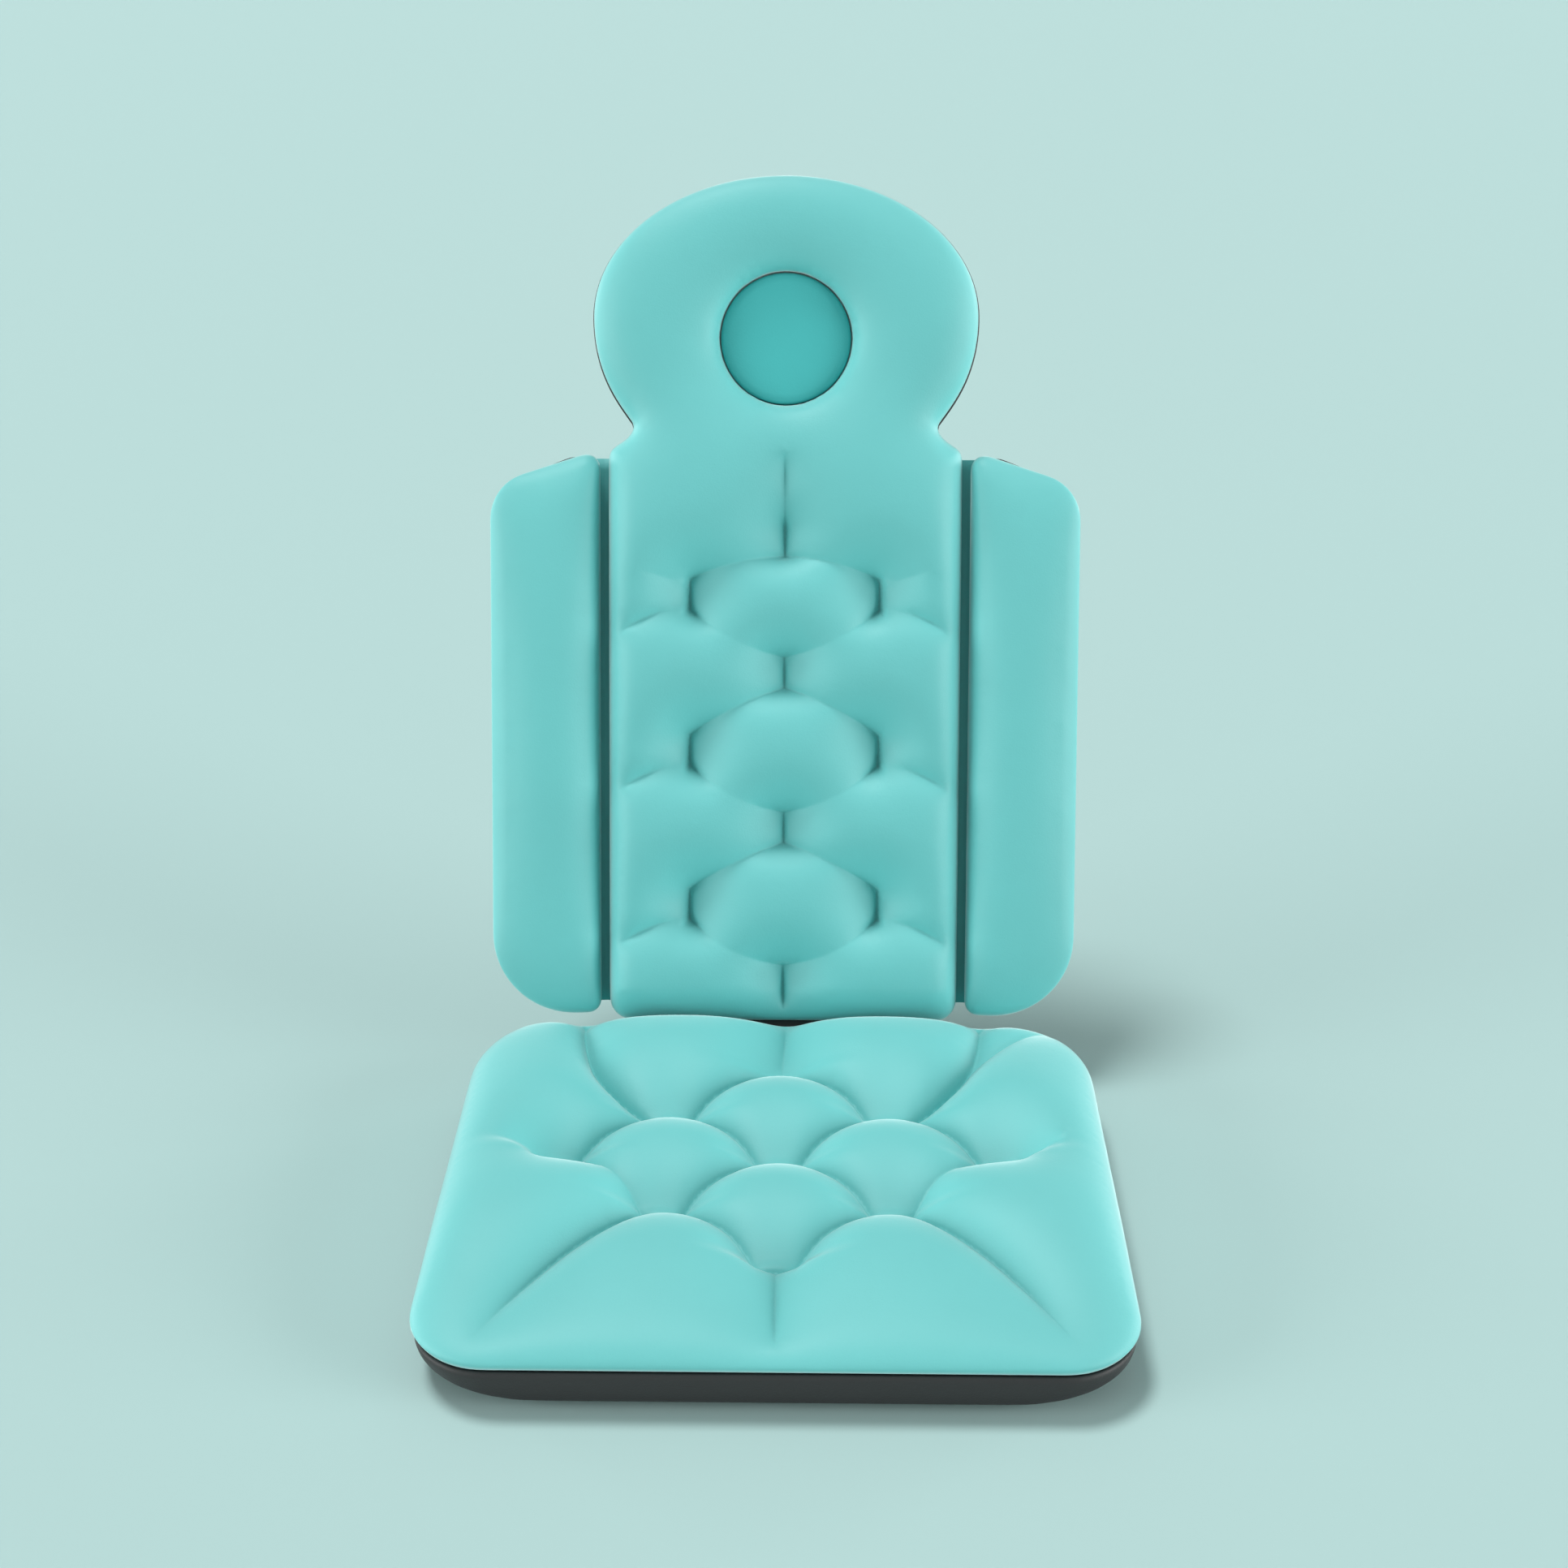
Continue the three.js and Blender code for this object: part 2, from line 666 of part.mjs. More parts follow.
// The stretch that bends when the head tips.
function neckPad(outline, surface) {
  const group = new THREE.Group();
  const [low, high] = [neckBottom + clearance, neckTop - clearance];
  const rise = (high - low) / neckSteps;
  const rowHeights = Array.from({ length: neckSteps + 1 }, (_, i) => low + i * rise);
  const rows = padRows(outline, rowHeights, lattice(0, backTuftPitchX / cellsPerPitch, panelHalf));
  const cuts = { first: true, last: true };
  group.add(part('neck_cushion', cushionGeometry(rows, outline, surface, cuts), teal));
  const strip = (inset) => [
    ...rows.map((row) => new THREE.Vector2(row.at(-1).x - inset, row[0].y)),
    ...rows.toReversed().map((row) => new THREE.Vector2(row[0].x + inset, row[0].y)),
  ];
  group.add(part('neck_backing', loft([
    { outline: strip(2 * backingInset), z: -neckBackingHeight },
    { outline: strip(backingInset), z: -seamGap },
  ]), grey));
  return group;
}

function headPad(outline, surface) {
  const group = new THREE.Group();
  const border = outline.slice(neckTop, Infinity, backBackingTaper + 2 * backingWall);
  const edge = border.divided(headEdgeStep).points;
  const centre = new THREE.Vector2(0, recessCentre);
  const facets = new Facets();
  const lip = edge.map((point) => point.clone().sub(centre).setLength(recessRadius).add(centre));
  const rings = headRings.map((step) => edge.map((point, i) => {
    const { x, y } = lip[i].clone().lerp(point, step);
    return facets.point(x, y, surface(x, y));
  }));
  const hem = edge.map((point) => {
    const onCut = point.y < neckTop + sliver;
    const side = outline.distance(point.x, point.y) < sliver;
    const straight = new THREE.Vector2(point.x - (side ? Math.sign(point.x) * drawIn : 0), point.y);
    return onCut ? straight : outline.drawnIn(point);
  });
  const outerSeam = hem.map(({ x, y }) => facets.point(x, y, seamGap));
  const innerSeam = lip.map(({ x, y }) => facets.point(x, y, seamGap));
  const loop = [outerSeam, ...rings.toReversed(), innerSeam];
  loop.forEach((ring, i) => facets.band(ring, loop[(i + 1) % loop.length]));
  group.add(part('head_cushion', facets.geometry(), teal));

  const panelRadius = recessRadius - recessPanelGap;
  const dome = new THREE.QuadraticBezierCurve(
    new THREE.Vector2(panelRadius, recessPanelThickness),
    new THREE.Vector2(panelRadius / 2, recessPanelThickness + recessPanelCrown),
    new THREE.Vector2(0, recessPanelThickness + recessPanelCrown),
  );
  const underside = [new THREE.Vector2(0, seamGap), new THREE.Vector2(panelRadius, seamGap)];
  const profile = [...underside, ...dome.getPoints(recessSteps)];
  const disc = new THREE.LatheGeometry(profile, recessSegments).rotateX(quarter);
  const panel = part('head_recess_panel', disc, deepTeal);
  panel.position.set(0, recessCentre, 0);
  group.add(panel);

  const ringAt = (depth, wall = 0) => border.inset(backingInset + depth * backBackingTaper + wall);
  const cupColumn = (recessRadius + headWidth / 2) / 2;
  const places = grid([-cupColumn, cupColumn], [recessCentre]);
  const tray = pierced(trayGeometry(ringAt, backBackingHeight), places, backBackingHeight);
  group.add(part('head_backing', tray, grey));
  group.add(part('head_filling', fillingGeometry(ringAt, backBackingHeight), foam));
  group.add(...cups('head', places, backBackingHeight));
  return group;
}

function wing(name, side) {
  const group = new THREE.Group();
  const outline = wingOutline();
  const handed = (geometry) => (side > 0 ? geometry : mirrored(geometry));
  const height = (x, y) => {
    const swell = roll(outline.distance(x, y), wingEdgeRoll);
    return sideHeight + (wingCrown - sideHeight) * swell;
  };
  const middle = (grooveWidth + wingWidth) / 2;
  const columns = lattice(middle, wingColumnStep, wingWidth / 2);
  const levels = lattice(wingFoot, wingRowStep, shoulderHeight);
  const rows = padRows(outline, edgeRows(...outline.reach(), levels), columns);
  const ringAt = (depth, wall = 0) => outline.inset(backingInset + depth * backBackingTaper + wall);
  group.add(part(`${name}_wing_cushion`, handed(cushionGeometry(rows, outline, height)), teal));
  group.add(part(`${name}_wing_backing`, handed(trayGeometry(ringAt, backBackingHeight)), grey));
  group.add(part(`${name}_wing_filling`, handed(fillingGeometry(ringAt, backBackingHeight)), foam));
  group.position.x = side * hingeX;
  group.rotation.y = -side * wingForward;
  return group;
}

// A fabric strip that bends once along its middle.
function webGeometry(reach, bend, length) {
  const half = webThickness / 2;
  const corner = half * Math.tan(bend / 2);
  const [c, s] = [Math.cos(bend), Math.sin(bend)];
  const shape = new THREE.Shape([
    new THREE.Vector2(-reach, -half),
    new THREE.Vector2(corner, -half),
    new THREE.Vector2(reach * c + half * s, reach * s - half * c),
    new THREE.Vector2(reach * c - half * s, reach * s + half * c),
    new THREE.Vector2(-corner, half),
    new THREE.Vector2(-reach, half),
  ]);
  const strip = new THREE.ExtrudeGeometry(shape, { depth: length, bevelEnabled: false });
  return strip.translate(0, 0, -length / 2);
}

function seatHingeWeb() {
  const reach = hingeGap + drawIn - 2 * clearance;
  const length = panelWidth - 2 * panelCornerRadius;
  const web = part('seat_hinge_web', webGeometry(reach, quarter - recline, length), grey);
  // The strip is drawn in profile: turn that profile into the YZ plane, with the hinge along X.
  web.setRotationFromMatrix(new THREE.Matrix4().makeBasis(
    new THREE.Vector3(0, 1, 0), new THREE.Vector3(0, 0, 1), new THREE.Vector3(1, 0, 0),
  ));
  return web;
}

function wingWeb(name, side) {
  const reach = grooveWidth / 2 + drawIn - 2 * clearance;
  const [low, high] = [wingFoot + wingInnerRadius, shoulderHeight - wingInnerRadius];
  const straight = webGeometry(reach, wingForward, high - low).rotateX(quarter);
  const geometry = side > 0 ? straight : mirrored(mergeVertices(straight));
  const web = part(`${name}_wing_web`, geometry, grey);
  web.position.set(side * hingeX, (low + high) / 2, 0);
  return web;
}

function backrest() {
  const group = new THREE.Group();
  const outline = backOutline();
  const surface = backSurface(outline);
  group.add(backPad(outline, surface), neckPad(outline, surface), headPad(outline, surface));
  group.add(wing('left', -1), wing('right', 1), wingWeb('left', -1), wingWeb('right', 1));
  group.rotation.x = quarter - recline;
  return group;
}

// Stood on its seat cups, with the origin under the middle of the whole pillow.
function bathPillow() {
  const pillow = new THREE.Group();
  pillow.add(seat(), seatHingeWeb(), backrest());
  pillow.position.z = seatBaseHeight + cupHeight;
  pillow.updateMatrixWorld(true);
  const middle = new THREE.Box3().setFromObject(pillow, true).getCenter(new THREE.Vector3());
  pillow.position.set(-middle.x, -middle.y, seatBaseHeight + cupHeight);
  return pillow;
}

export default bathPillow();
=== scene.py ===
"""Bath pillow: padded covers, backings, suction cups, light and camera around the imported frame.

Pads are drawn in the flat pattern that the solids follow, in millimetres: x across, y up the pillow from
the seat hinge, z out of the seam plane. Each is then placed in the frame, in metres.
"""

import json
import math

import bpy
import numpy as np
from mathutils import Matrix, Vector
from mathutils.geometry import delaunay_2d_cdt


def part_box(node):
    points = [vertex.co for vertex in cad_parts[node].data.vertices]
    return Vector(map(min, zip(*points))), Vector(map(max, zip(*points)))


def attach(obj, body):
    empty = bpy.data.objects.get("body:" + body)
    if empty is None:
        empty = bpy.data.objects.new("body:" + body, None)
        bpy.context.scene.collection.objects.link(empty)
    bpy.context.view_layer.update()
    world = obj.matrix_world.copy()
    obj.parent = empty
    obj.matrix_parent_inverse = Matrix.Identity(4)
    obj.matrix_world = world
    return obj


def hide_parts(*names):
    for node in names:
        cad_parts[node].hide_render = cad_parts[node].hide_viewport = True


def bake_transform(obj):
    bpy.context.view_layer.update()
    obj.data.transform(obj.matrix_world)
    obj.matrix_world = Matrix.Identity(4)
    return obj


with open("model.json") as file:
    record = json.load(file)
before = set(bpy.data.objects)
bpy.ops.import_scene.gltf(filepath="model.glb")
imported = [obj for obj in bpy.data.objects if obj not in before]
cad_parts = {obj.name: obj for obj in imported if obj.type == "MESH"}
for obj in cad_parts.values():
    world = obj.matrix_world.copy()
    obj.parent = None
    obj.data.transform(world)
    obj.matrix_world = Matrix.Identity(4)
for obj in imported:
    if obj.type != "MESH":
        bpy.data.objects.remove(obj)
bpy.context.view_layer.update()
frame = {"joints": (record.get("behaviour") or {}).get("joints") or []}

MM = 0.001
joints = {joint["name"]: joint for joint in frame["joints"]}
HINGE = np.array(joints["backrest_fold"]["pos_m"]) / MM
UP_BACK = np.array(joints["left_wing_fold"]["axis"])
ACROSS = np.array([1.0, 0.0, 0.0])
OUT_OF_BACK = np.cross(ACROSS, UP_BACK)
WING_HINGE = abs(joints["right_wing_fold"]["pos_m"][0]) / MM
NECK_HINGE = (np.array(joints["headrest_flex"]["pos_m"]) / MM - HINGE) @ UP_BACK

# Sizes of the pattern
WING_FORWARD = math.radians(10)
HINGE_GAP = 10.0
GROOVE = 7.0
seat_low, seat_high = (np.array(corner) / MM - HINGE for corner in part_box("seat_cushion"))
SEAT_HALF = seat_high[0]
SEAT_FRONT, SEAT_REAR = seat_low[1], seat_high[1]
SEAT_FRONT_RADIUS = 50.0
SEAT_REAR_RADIUS = 75.0
PANEL_HALF = WING_HINGE - GROOVE / 2
PANEL_CORNER = 16.0
SHOULDER = 420.0
SHOULDER_RADIUS = 10.0
BACKING_SHOULDER_RADIUS = 20.0
NECK_HALF = 108.0
NECK = 434.0
NECK_BEND = 17.0
HEAD_HALF = 137.0
HEAD_WIDEST = 517.0
HEAD_TOP = 616.0
RECESS_CENTRE = np.array([0.0, 502.0])
RECESS_RADIUS = 47.0
WING_WIDTH = 79.0
WING_FOOT = 15.0
WING_DROP = 13.0
WING_INNER_RADIUS = 10.0
WING_TOP_RADIUS = 34.0
WING_BOTTOM_RADIUS = 60.0
SEAT_BASE_HEIGHT = 25.0
BACKING_HEIGHT = 12.0
NECK_BACKING_HEIGHT = 8.0
WALL = 3.0
SEAT_BASE_TAPER = 7.0
SEAT_BASE_ROUNDING = 40.0
BACKING_TAPER = 9.0
CUP_RADIUS = 20.0
CUP_HEIGHT = 6.0
CUP_NECK = 4.5
CUP_AXIS = 0.6
CUP_ROOF = -3.1
CUP_COLLAR = 7.2
CUP_FIT = 0.3
BUTTON_RADIUS = 7.5
BUTTON_HEIGHT = 2.0
STRIP_THICKNESS = 1.2
STRIP_COLUMNS = 13
STRIP_ROWS = 48

# Mesh
CELL = 4.5
RIM_INSETS = (0.0, 0.5, 2.0, 4.5, 8.0)
SIDE = 6.0
DRAW_IN = 3.0
SEAM_GAP = 0.15
ON_LINE = 0.05
BESIDE = (2.2, 5.0)
APART = 1.9
LIP = 0.12
PRESSURE = 9.0
SWELL_LIMIT = 5.0
SWELL_FRAMES = 20
SEWN_DEPTH = 0.5
CREASE_SHARPNESS = 0.7
TUCKS = (0.35, 1.0)
FLOOR_CELL = 12.0
WADDING_CELL = 15.0
BUTTON_ROOM = 2.6
WADDING_GAP = 0.5


# Places in the frame

def on_seat(points):
    return (HINGE + points) * MM


def on_back(points):
    x, y, z = points.T[:, :, None]
    return (HINGE + x * ACROSS + y * UP_BACK + z * OUT_OF_BACK) * MM


def on_wing(side):
    turn, lean = math.cos(WING_FORWARD), math.sin(WING_FORWARD)

    def place(points):
        x, y, z = points.T
        across = side * (WING_HINGE + x * turn - z * lean)
        return on_back(np.column_stack([across, y, x * lean + z * turn]))

    return place


# Outlines, counter-clockwise

def arc(centre, radius, start, end, height=None, steps=24):
    turn = np.radians(np.linspace(start, end, steps))
    across, up = radius * np.cos(turn), (height or radius) * np.sin(turn)
    return np.column_stack([centre[0] + across, centre[1] + up])


def bezier(*controls, steps=24):
    share = np.linspace(0, 1, steps)[:, None]
    points = [np.array(control, float) + 0 * share for control in controls]
    while len(points) > 1:
        points = [a + (b - a) * share for a, b in zip(points, points[1:])]
    return points[0]


def spaced(points, count):
    """The same open line with points at even steps."""
    length = np.concatenate([[0], np.cumsum(np.linalg.norm(np.diff(points, axis=0), axis=1))])
    marks = np.linspace(0, length[-1], count)
    return np.column_stack([np.interp(marks, length, points[:, k]) for k in (0, 1)])


def mirrored_outline(right, count):
    """Both halves of a symmetric outline, from the right half, bottom to top."""
    right = spaced(right, count)
    return np.vstack([right, right[-2:0:-1] * [-1, 1]])


def rounded(half, low, high, low_radius, high_radius, count):
    return mirrored_outline(np.vstack([
        [(0, low)],
        arc((half - low_radius, low + low_radius), low_radius, -90, 0),
        arc((half - high_radius, high - high_radius), high_radius, 0, 90),
        [(0, high)],
    ]), count)


def seat_outline(shrink=0.0, rounder=0.0):
    front, rear = SEAT_FRONT_RADIUS - shrink + rounder, SEAT_REAR_RADIUS - shrink + rounder
    return rounded(SEAT_HALF - shrink, SEAT_FRONT + shrink, SEAT_REAR - shrink, front, rear, 164)


def back_outline(shoulder_radius):
    flare = (HEAD_WIDEST - NECK) / 2
    corner = PANEL_HALF - PANEL_CORNER
    shoulder = PANEL_HALF - shoulder_radius
    return mirrored_outline(np.vstack([
        [(0, HINGE_GAP)],
        arc((corner, HINGE_GAP + PANEL_CORNER), PANEL_CORNER, -90, 0),
        arc((shoulder, SHOULDER + 7 - shoulder_radius), shoulder_radius, 0, 58),
        bezier((shoulder + 0.53 * shoulder_radius, SHOULDER + 7 - 0.15 * shoulder_radius),
               (NECK_HALF + 1, NECK - 2), (NECK_HALF, NECK + 6)),
        bezier((NECK_HALF, NECK + 6), (NECK_HALF + flare / 4, NECK + flare / 2),
               (HEAD_HALF, HEAD_WIDEST - flare), (HEAD_HALF, HEAD_WIDEST)),
        arc((0, HEAD_WIDEST), HEAD_HALF, 0, 90, height=HEAD_TOP - HEAD_WIDEST),
    ]), 198)


def wing_outline(inner_radius):
    """A right-hand wing, measured outward from its hinge."""
    inner, outer = GROOVE / 2, GROOVE / 2 + WING_WIDTH
    inner_x = inner + inner_radius
    outer_corner = np.array([outer - WING_TOP_RADIUS, SHOULDER - WING_DROP - WING_TOP_RADIUS])
    inner_corner = np.array([inner_x, SHOULDER - inner_radius])
    across = inner_corner - outer_corner
    narrowing = math.acos((WING_TOP_RADIUS - inner_radius) / np.linalg.norm(across))
    slope = math.degrees(math.atan2(across[1], across[0]) - narrowing)
    points = np.vstack([
        arc((inner_x, WING_FOOT + inner_radius), inner_radius, 180, 270),
        arc((outer - WING_BOTTOM_RADIUS, WING_FOOT + WING_BOTTOM_RADIUS), WING_BOTTOM_RADIUS, -90, 0),
        arc(outer_corner, WING_TOP_RADIUS, 0, slope),
        arc(inner_corner, inner_radius, slope, 180),
        [(inner, WING_FOOT + inner_radius)],
    ])
    return spaced(points, 218)[:-1]


def circle(centre, radius, count):
    return arc(centre, radius, 0, 360, steps=count + 1)[:-1]


def inset(outline, distance):
    """The outline moved inward, by one distance all round or one for each point."""
    along = np.roll(outline, -1, 0) - np.roll(outline, 1, 0)
    along /= np.linalg.norm(along, axis=1)[:, None]
    return outline + np.reshape(distance, (-1, 1)) * np.column_stack([-along[:, 1], along[:, 0]])


# Distances

def nearest(points, starts, ends):
    """From every point to every segment: the distance, and how far along the segment that is."""
    run = ends - starts
    away = points[:, None, :] - starts
    along = np.clip((away * run).sum(2) / np.maximum((run * run).sum(1), 1e-9), 0, 1)
    return np.linalg.norm(away - along[:, :, None] * run, axis=2), along


def edge_distance(points, outline):
    starts, ends = outline, np.roll(outline, -1, 0)
    parts = np.array_split(points, len(points) // 2000 + 1)
    return np.concatenate([nearest(part, starts, ends)[0].min(1) for part in parts])


def inside(points, outline):
    """Whether each point lies within the outline, by counting the edges above it."""
    (ax, ay), (bx, by) = outline.T, np.roll(outline, -1, 0).T
    x, y = points[:, :1], points[:, 1:]
    spans = (ax <= x) != (bx <= x)
    height = ay + (x - ax) * (by - ay) / np.where(bx == ax, 1e-9, bx - ax)
    return (spans & (height > y)).sum(1) % 2 == 1


def rise(value, low, high):
    share = np.clip((value - low) / (high - low), 0, 1)
    return share * share * (3 - 2 * share)


# Sewn creases

class Creases:
    """Lines along which a cover is sewn or folded down, with a share of the full depth at every point."""

    def __init__(self, dimple, dimple_size, dimple_front):
        self.lines = []
        self.tufts = []
        self.dimple = dimple
        self.dimple_size = dimple_size
        self.dimple_front = dimple_front

    def sew(self, centre, reach, depth):
        """A short tight line that draws down the padding round it."""
        self.tufts.append(centre)
        self.add(centre - reach, centre + reach, (depth, depth))

    def loft(self, points):
        """The share of its height that the padding keeps round the tufts."""
        away = points[:, None, :] - np.array(self.tufts)
        near = np.exp(-((away / self.dimple_size) ** 2).sum(2))
        behind = rise(away[:, :, 1], *self.dimple_front)
        return np.prod(1 - self.dimple * near * behind, 1)

    def add(self, start, end, depths, middle=None, bow=0.0):
        """A crease between two points. It is as deep as depths at its ends and as middle halfway."""
        start, end = np.array(start, float), np.array(end, float)
        run = end - start
        control = (start + end) / 2 + bow * 2 * np.array([-run[1], run[0]]) / np.linalg.norm(run)
        points = spaced(bezier(start, control, end), max(3, round(np.linalg.norm(run) / CELL) + 1))
        share = np.linspace(0, 1, len(points))
        ends = depths[0] + (depths[1] - depths[0]) * share
        sag = ends if middle is None else middle + (ends - middle) * (2 * share - 1) ** 2
        self.lines.append((points, sag))

    def depth(self, points):
        """The share of the depth at each point on a crease, and 0 off them."""
        deepest = np.zeros(len(points))
        for line, sag in self.lines:
            gap, along = nearest(points, line[:-1], line[1:])
            share = sag[:-1] + (sag[1:] - sag[:-1]) * along
            deepest = np.maximum(deepest, np.where(gap < ON_LINE, share, 0.0).max(1))
        return deepest

    def beside(self, distances):
        """Rows of points on both sides of every crease."""
        rows = []
        for line, _ in self.lines:
            run = np.gradient(line, axis=0)
            normal = np.column_stack([-run[:, 1], run[:, 0]]) / np.linalg.norm(run, axis=1)[:, None]
            rows += [line + side * gap * normal for gap in distances for side in (-1, 1)]
        return np.vstack(rows)

    def distance(self, points):
        return np.min([nearest(points, line[:-1], line[1:])[0].min(1) for line, _ in self.lines], 0)


# Meshes

def hex_points(outline, step):
    low, high = outline.min(0), outline.max(0)
    rows = np.arange(low[1], high[1], step * math.sqrt(3) / 2)
    columns = np.arange(0, max(high[0], -low[0]) + step, step)
    columns = np.concatenate([-columns[:0:-1], columns])
    return np.vstack([
        np.column_stack([columns + (step / 2 if r % 2 else 0), np.full(len(columns), y)])
        for r, y in enumerate(rows)
    ])


def apart(points, creases):
    """The points that keep clear of the creases and of the points before them."""
    distance = creases.distance(points)
    kept = {}
    for point, gap in zip(points, distance):
        near = APART if gap < BESIDE[-1] + 0.1 else CELL * 0.7
        column, row = (int(value // CELL) for value in point)
        around = [kept.get((column + i, row + j), ()) for i in (-1, 0, 1) for j in (-1, 0, 1)]
        crowd = [other for group in around for other in group]
        if gap > BESIDE[0] - 0.1 and all(np.hypot(*(point - other)) > near for other in crowd):
            kept.setdefault((column, row), []).append(point)
    return np.array([point for group in kept.values() for point in group])


def triangulate(outer, step, holes=(), creases=None):
    """Points and triangles that fill an outline around its holes, with edges along the creases."""
    loops = [outer, *holes]
    free = hex_points(outer, step)
    free = free[inside(free, outer) & (edge_distance(free, outer) > step * 0.6)]
    for hole in holes:
        free = free[~inside(free, hole) & (edge_distance(free, hole) > step * 0.6)]
    points = [*loops]
    edges = []
    count = 0
    for loop in loops:
        edges += [(count + i, count + (i + 1) % len(loop)) for i in range(len(loop))]
        count += len(loop)
    if creases:
        for line, _ in creases.lines:
            kept = line[inside(line, outer) & (edge_distance(line, outer) > step * 0.4)]
            edges += [(count + i, count + i + 1) for i in range(len(kept) - 1)]
            points.append(kept)
            count += len(kept)
        beside = creases.beside(BESIDE)
        beside = beside[inside(beside, outer) & (edge_distance(beside, outer) > step * 0.5)]
        free = apart(np.vstack([beside, free]), creases)
    points.append(free)
    flat = [Vector(point) for point in np.vstack(points)]
    found, _, faces, origins, _, _ = delaunay_2d_cdt(flat, edges, [], 1, 1e-3)
    found = np.array([tuple(point) for point in found])
    middles = np.array([found[list(face)].mean(0) for face in faces])
    kept = np.ones(len(faces), bool)
    for hole in holes:
        kept &= ~inside(middles, hole)
    place_of = {origin: i for i, sources in enumerate(origins) for origin in sources}
    ring_ids, count = [], 0
    for loop in loops:
        ring_ids.append([place_of[count + i] for i in range(len(loop))])
        count += len(loop)
    return found, [faces[i] for i in np.flatnonzero(kept)], ring_ids


class Skin:
    """Vertices and faces of one piece, gathered in the pattern."""

    def __init__(self):
        self.points = []
        self.faces = []

    def add(self, flat, heights):
        first = sum(len(block) for block in self.points)
        self.points.append(np.column_stack([flat, np.broadcast_to(heights, len(flat))]))
        return list(range(first, first + len(flat)))

    def band(self, outer, inner):
        """Quads between two closed rings, facing up where the outer one runs counter-clockwise."""
        for i, a in enumerate(outer):
            j = (i + 1) % len(outer)
            self.faces.append((a, outer[j], inner[j], inner[i]))

    def fill(self, outer, flat, height, step, holes=(), down=False):
        """A flat floor inside a ring that is already there, around rings that are too."""
        found, faces, ring_ids = triangulate(flat[0], step, flat[1:])
        rings = [outer, *holes]
        known = {k: v for ids, ring in zip(ring_ids, rings) for k, v in zip(ids, ring)}
        new = [i for i in range(len(found)) if i not in known]
        heights = height(found[new]) if callable(height) else height
        known.update(zip(new, self.add(found[new], heights)))
        for face in faces:
            turned = face[::-1] if down else face
            self.faces.append(tuple(known[i] for i in turned))

    def make(self, name, place):
        mesh = bpy.data.meshes.new(name)
        corner, *axes = place(np.vstack([np.zeros(3), np.eye(3)]) + [1.0, 0.0, 0.0])
        turned = np.linalg.det(axes - corner) < 0
        faces = [face[::-1] for face in self.faces] if turned else self.faces
        mesh.from_pydata(place(np.vstack(self.points)).tolist(), [], faces)
        mesh.validate()
        mesh.polygons.foreach_set("use_smooth", [True] * len(mesh.polygons))
        piece = bpy.data.objects.new(name, mesh)
        bpy.context.scene.collection.objects.link(piece)
        return piece


def coordinates(mesh):
    flat = np.empty(len(mesh.vertices) * 3)
    mesh.vertices.foreach_get("co", flat)
    return flat.reshape(-1, 3)


def evened(values, edges, freedom, rounds):
    """Values averaged with those of neighbouring vertices, over and over, as far as each is free to."""
    a, b = edges.T
    count = np.maximum(np.bincount(edges.ravel(), minlength=len(values)), 1)[:, None]
    share = np.reshape(freedom, (-1, 1)) / 2
    for _ in range(rounds):
        total = [np.bincount(a, column[b], len(values)) + np.bincount(b, column[a], len(values))
                 for column in values.T]
        values = values + share * (np.column_stack(total) / count - values)
    return values


def settled(pairs, weights, pull, held):
    """A sheet drawn up to 1 by its pull and to its neighbours by the weights, except where it is held."""
    a, b = pairs.T
    free = np.isnan(held)
    values = np.where(free, 1.0, held)

    def strain(levels):
        flow = weights * (levels[a] - levels[b])
        return np.bincount(a, flow, len(held)) - np.bincount(b, flow, len(held)) + pull * levels

    rest = (pull - strain(values)) * free
    step = rest.copy()
    size = rest @ rest
    for _ in range(600):
        change = strain(step) * free
        share = size / (step @ change)
        values += share * step
        rest -= share * change
        before, size = size, rest @ rest
        if size < 1e-10:
            break
        step = rest + size / before * step
    return values


def puffed(flat, faces, edge, lip, depth, spread):
    """How far each point of a cover rises, 0 to 1: held at its edge, drawn down at its creases."""
    halves = [half for face in faces for half in (face[:3], (face[0], *face[2:])) if len(half) == 3]
    corners = np.array(halves)
    areas = np.zeros(len(flat))
    pairs, weights = [], []
    for i in range(3):
        a, b, c = (corners[:, (i + k) % 3] for k in range(3))
        u, v = flat[b] - flat[a], flat[c] - flat[a]
        twice = np.maximum(np.abs(u[:, 0] * v[:, 1] - u[:, 1] * v[:, 0]), 1e-6)
        weights.append(np.maximum((u * v).sum(1) / twice / 2, 1e-3))
        pairs.append(np.column_stack([b, c]))
        areas += np.bincount(a, twice / 6, len(flat))
    pairs, weights = np.vstack(pairs), np.concatenate(weights)
    pull = areas / spread ** 2
    held = np.full(len(flat), np.nan)
    held[edge] = 0.0
    held[lip] = LIP ** 2
    level = settled(pairs, weights, pull, held)
    drawn = depth > 0
    held[drawn] = level[drawn] * (1 - depth[drawn]) ** 2
    return np.sqrt(np.clip(settled(pairs, weights, pull, held), 0, 1))


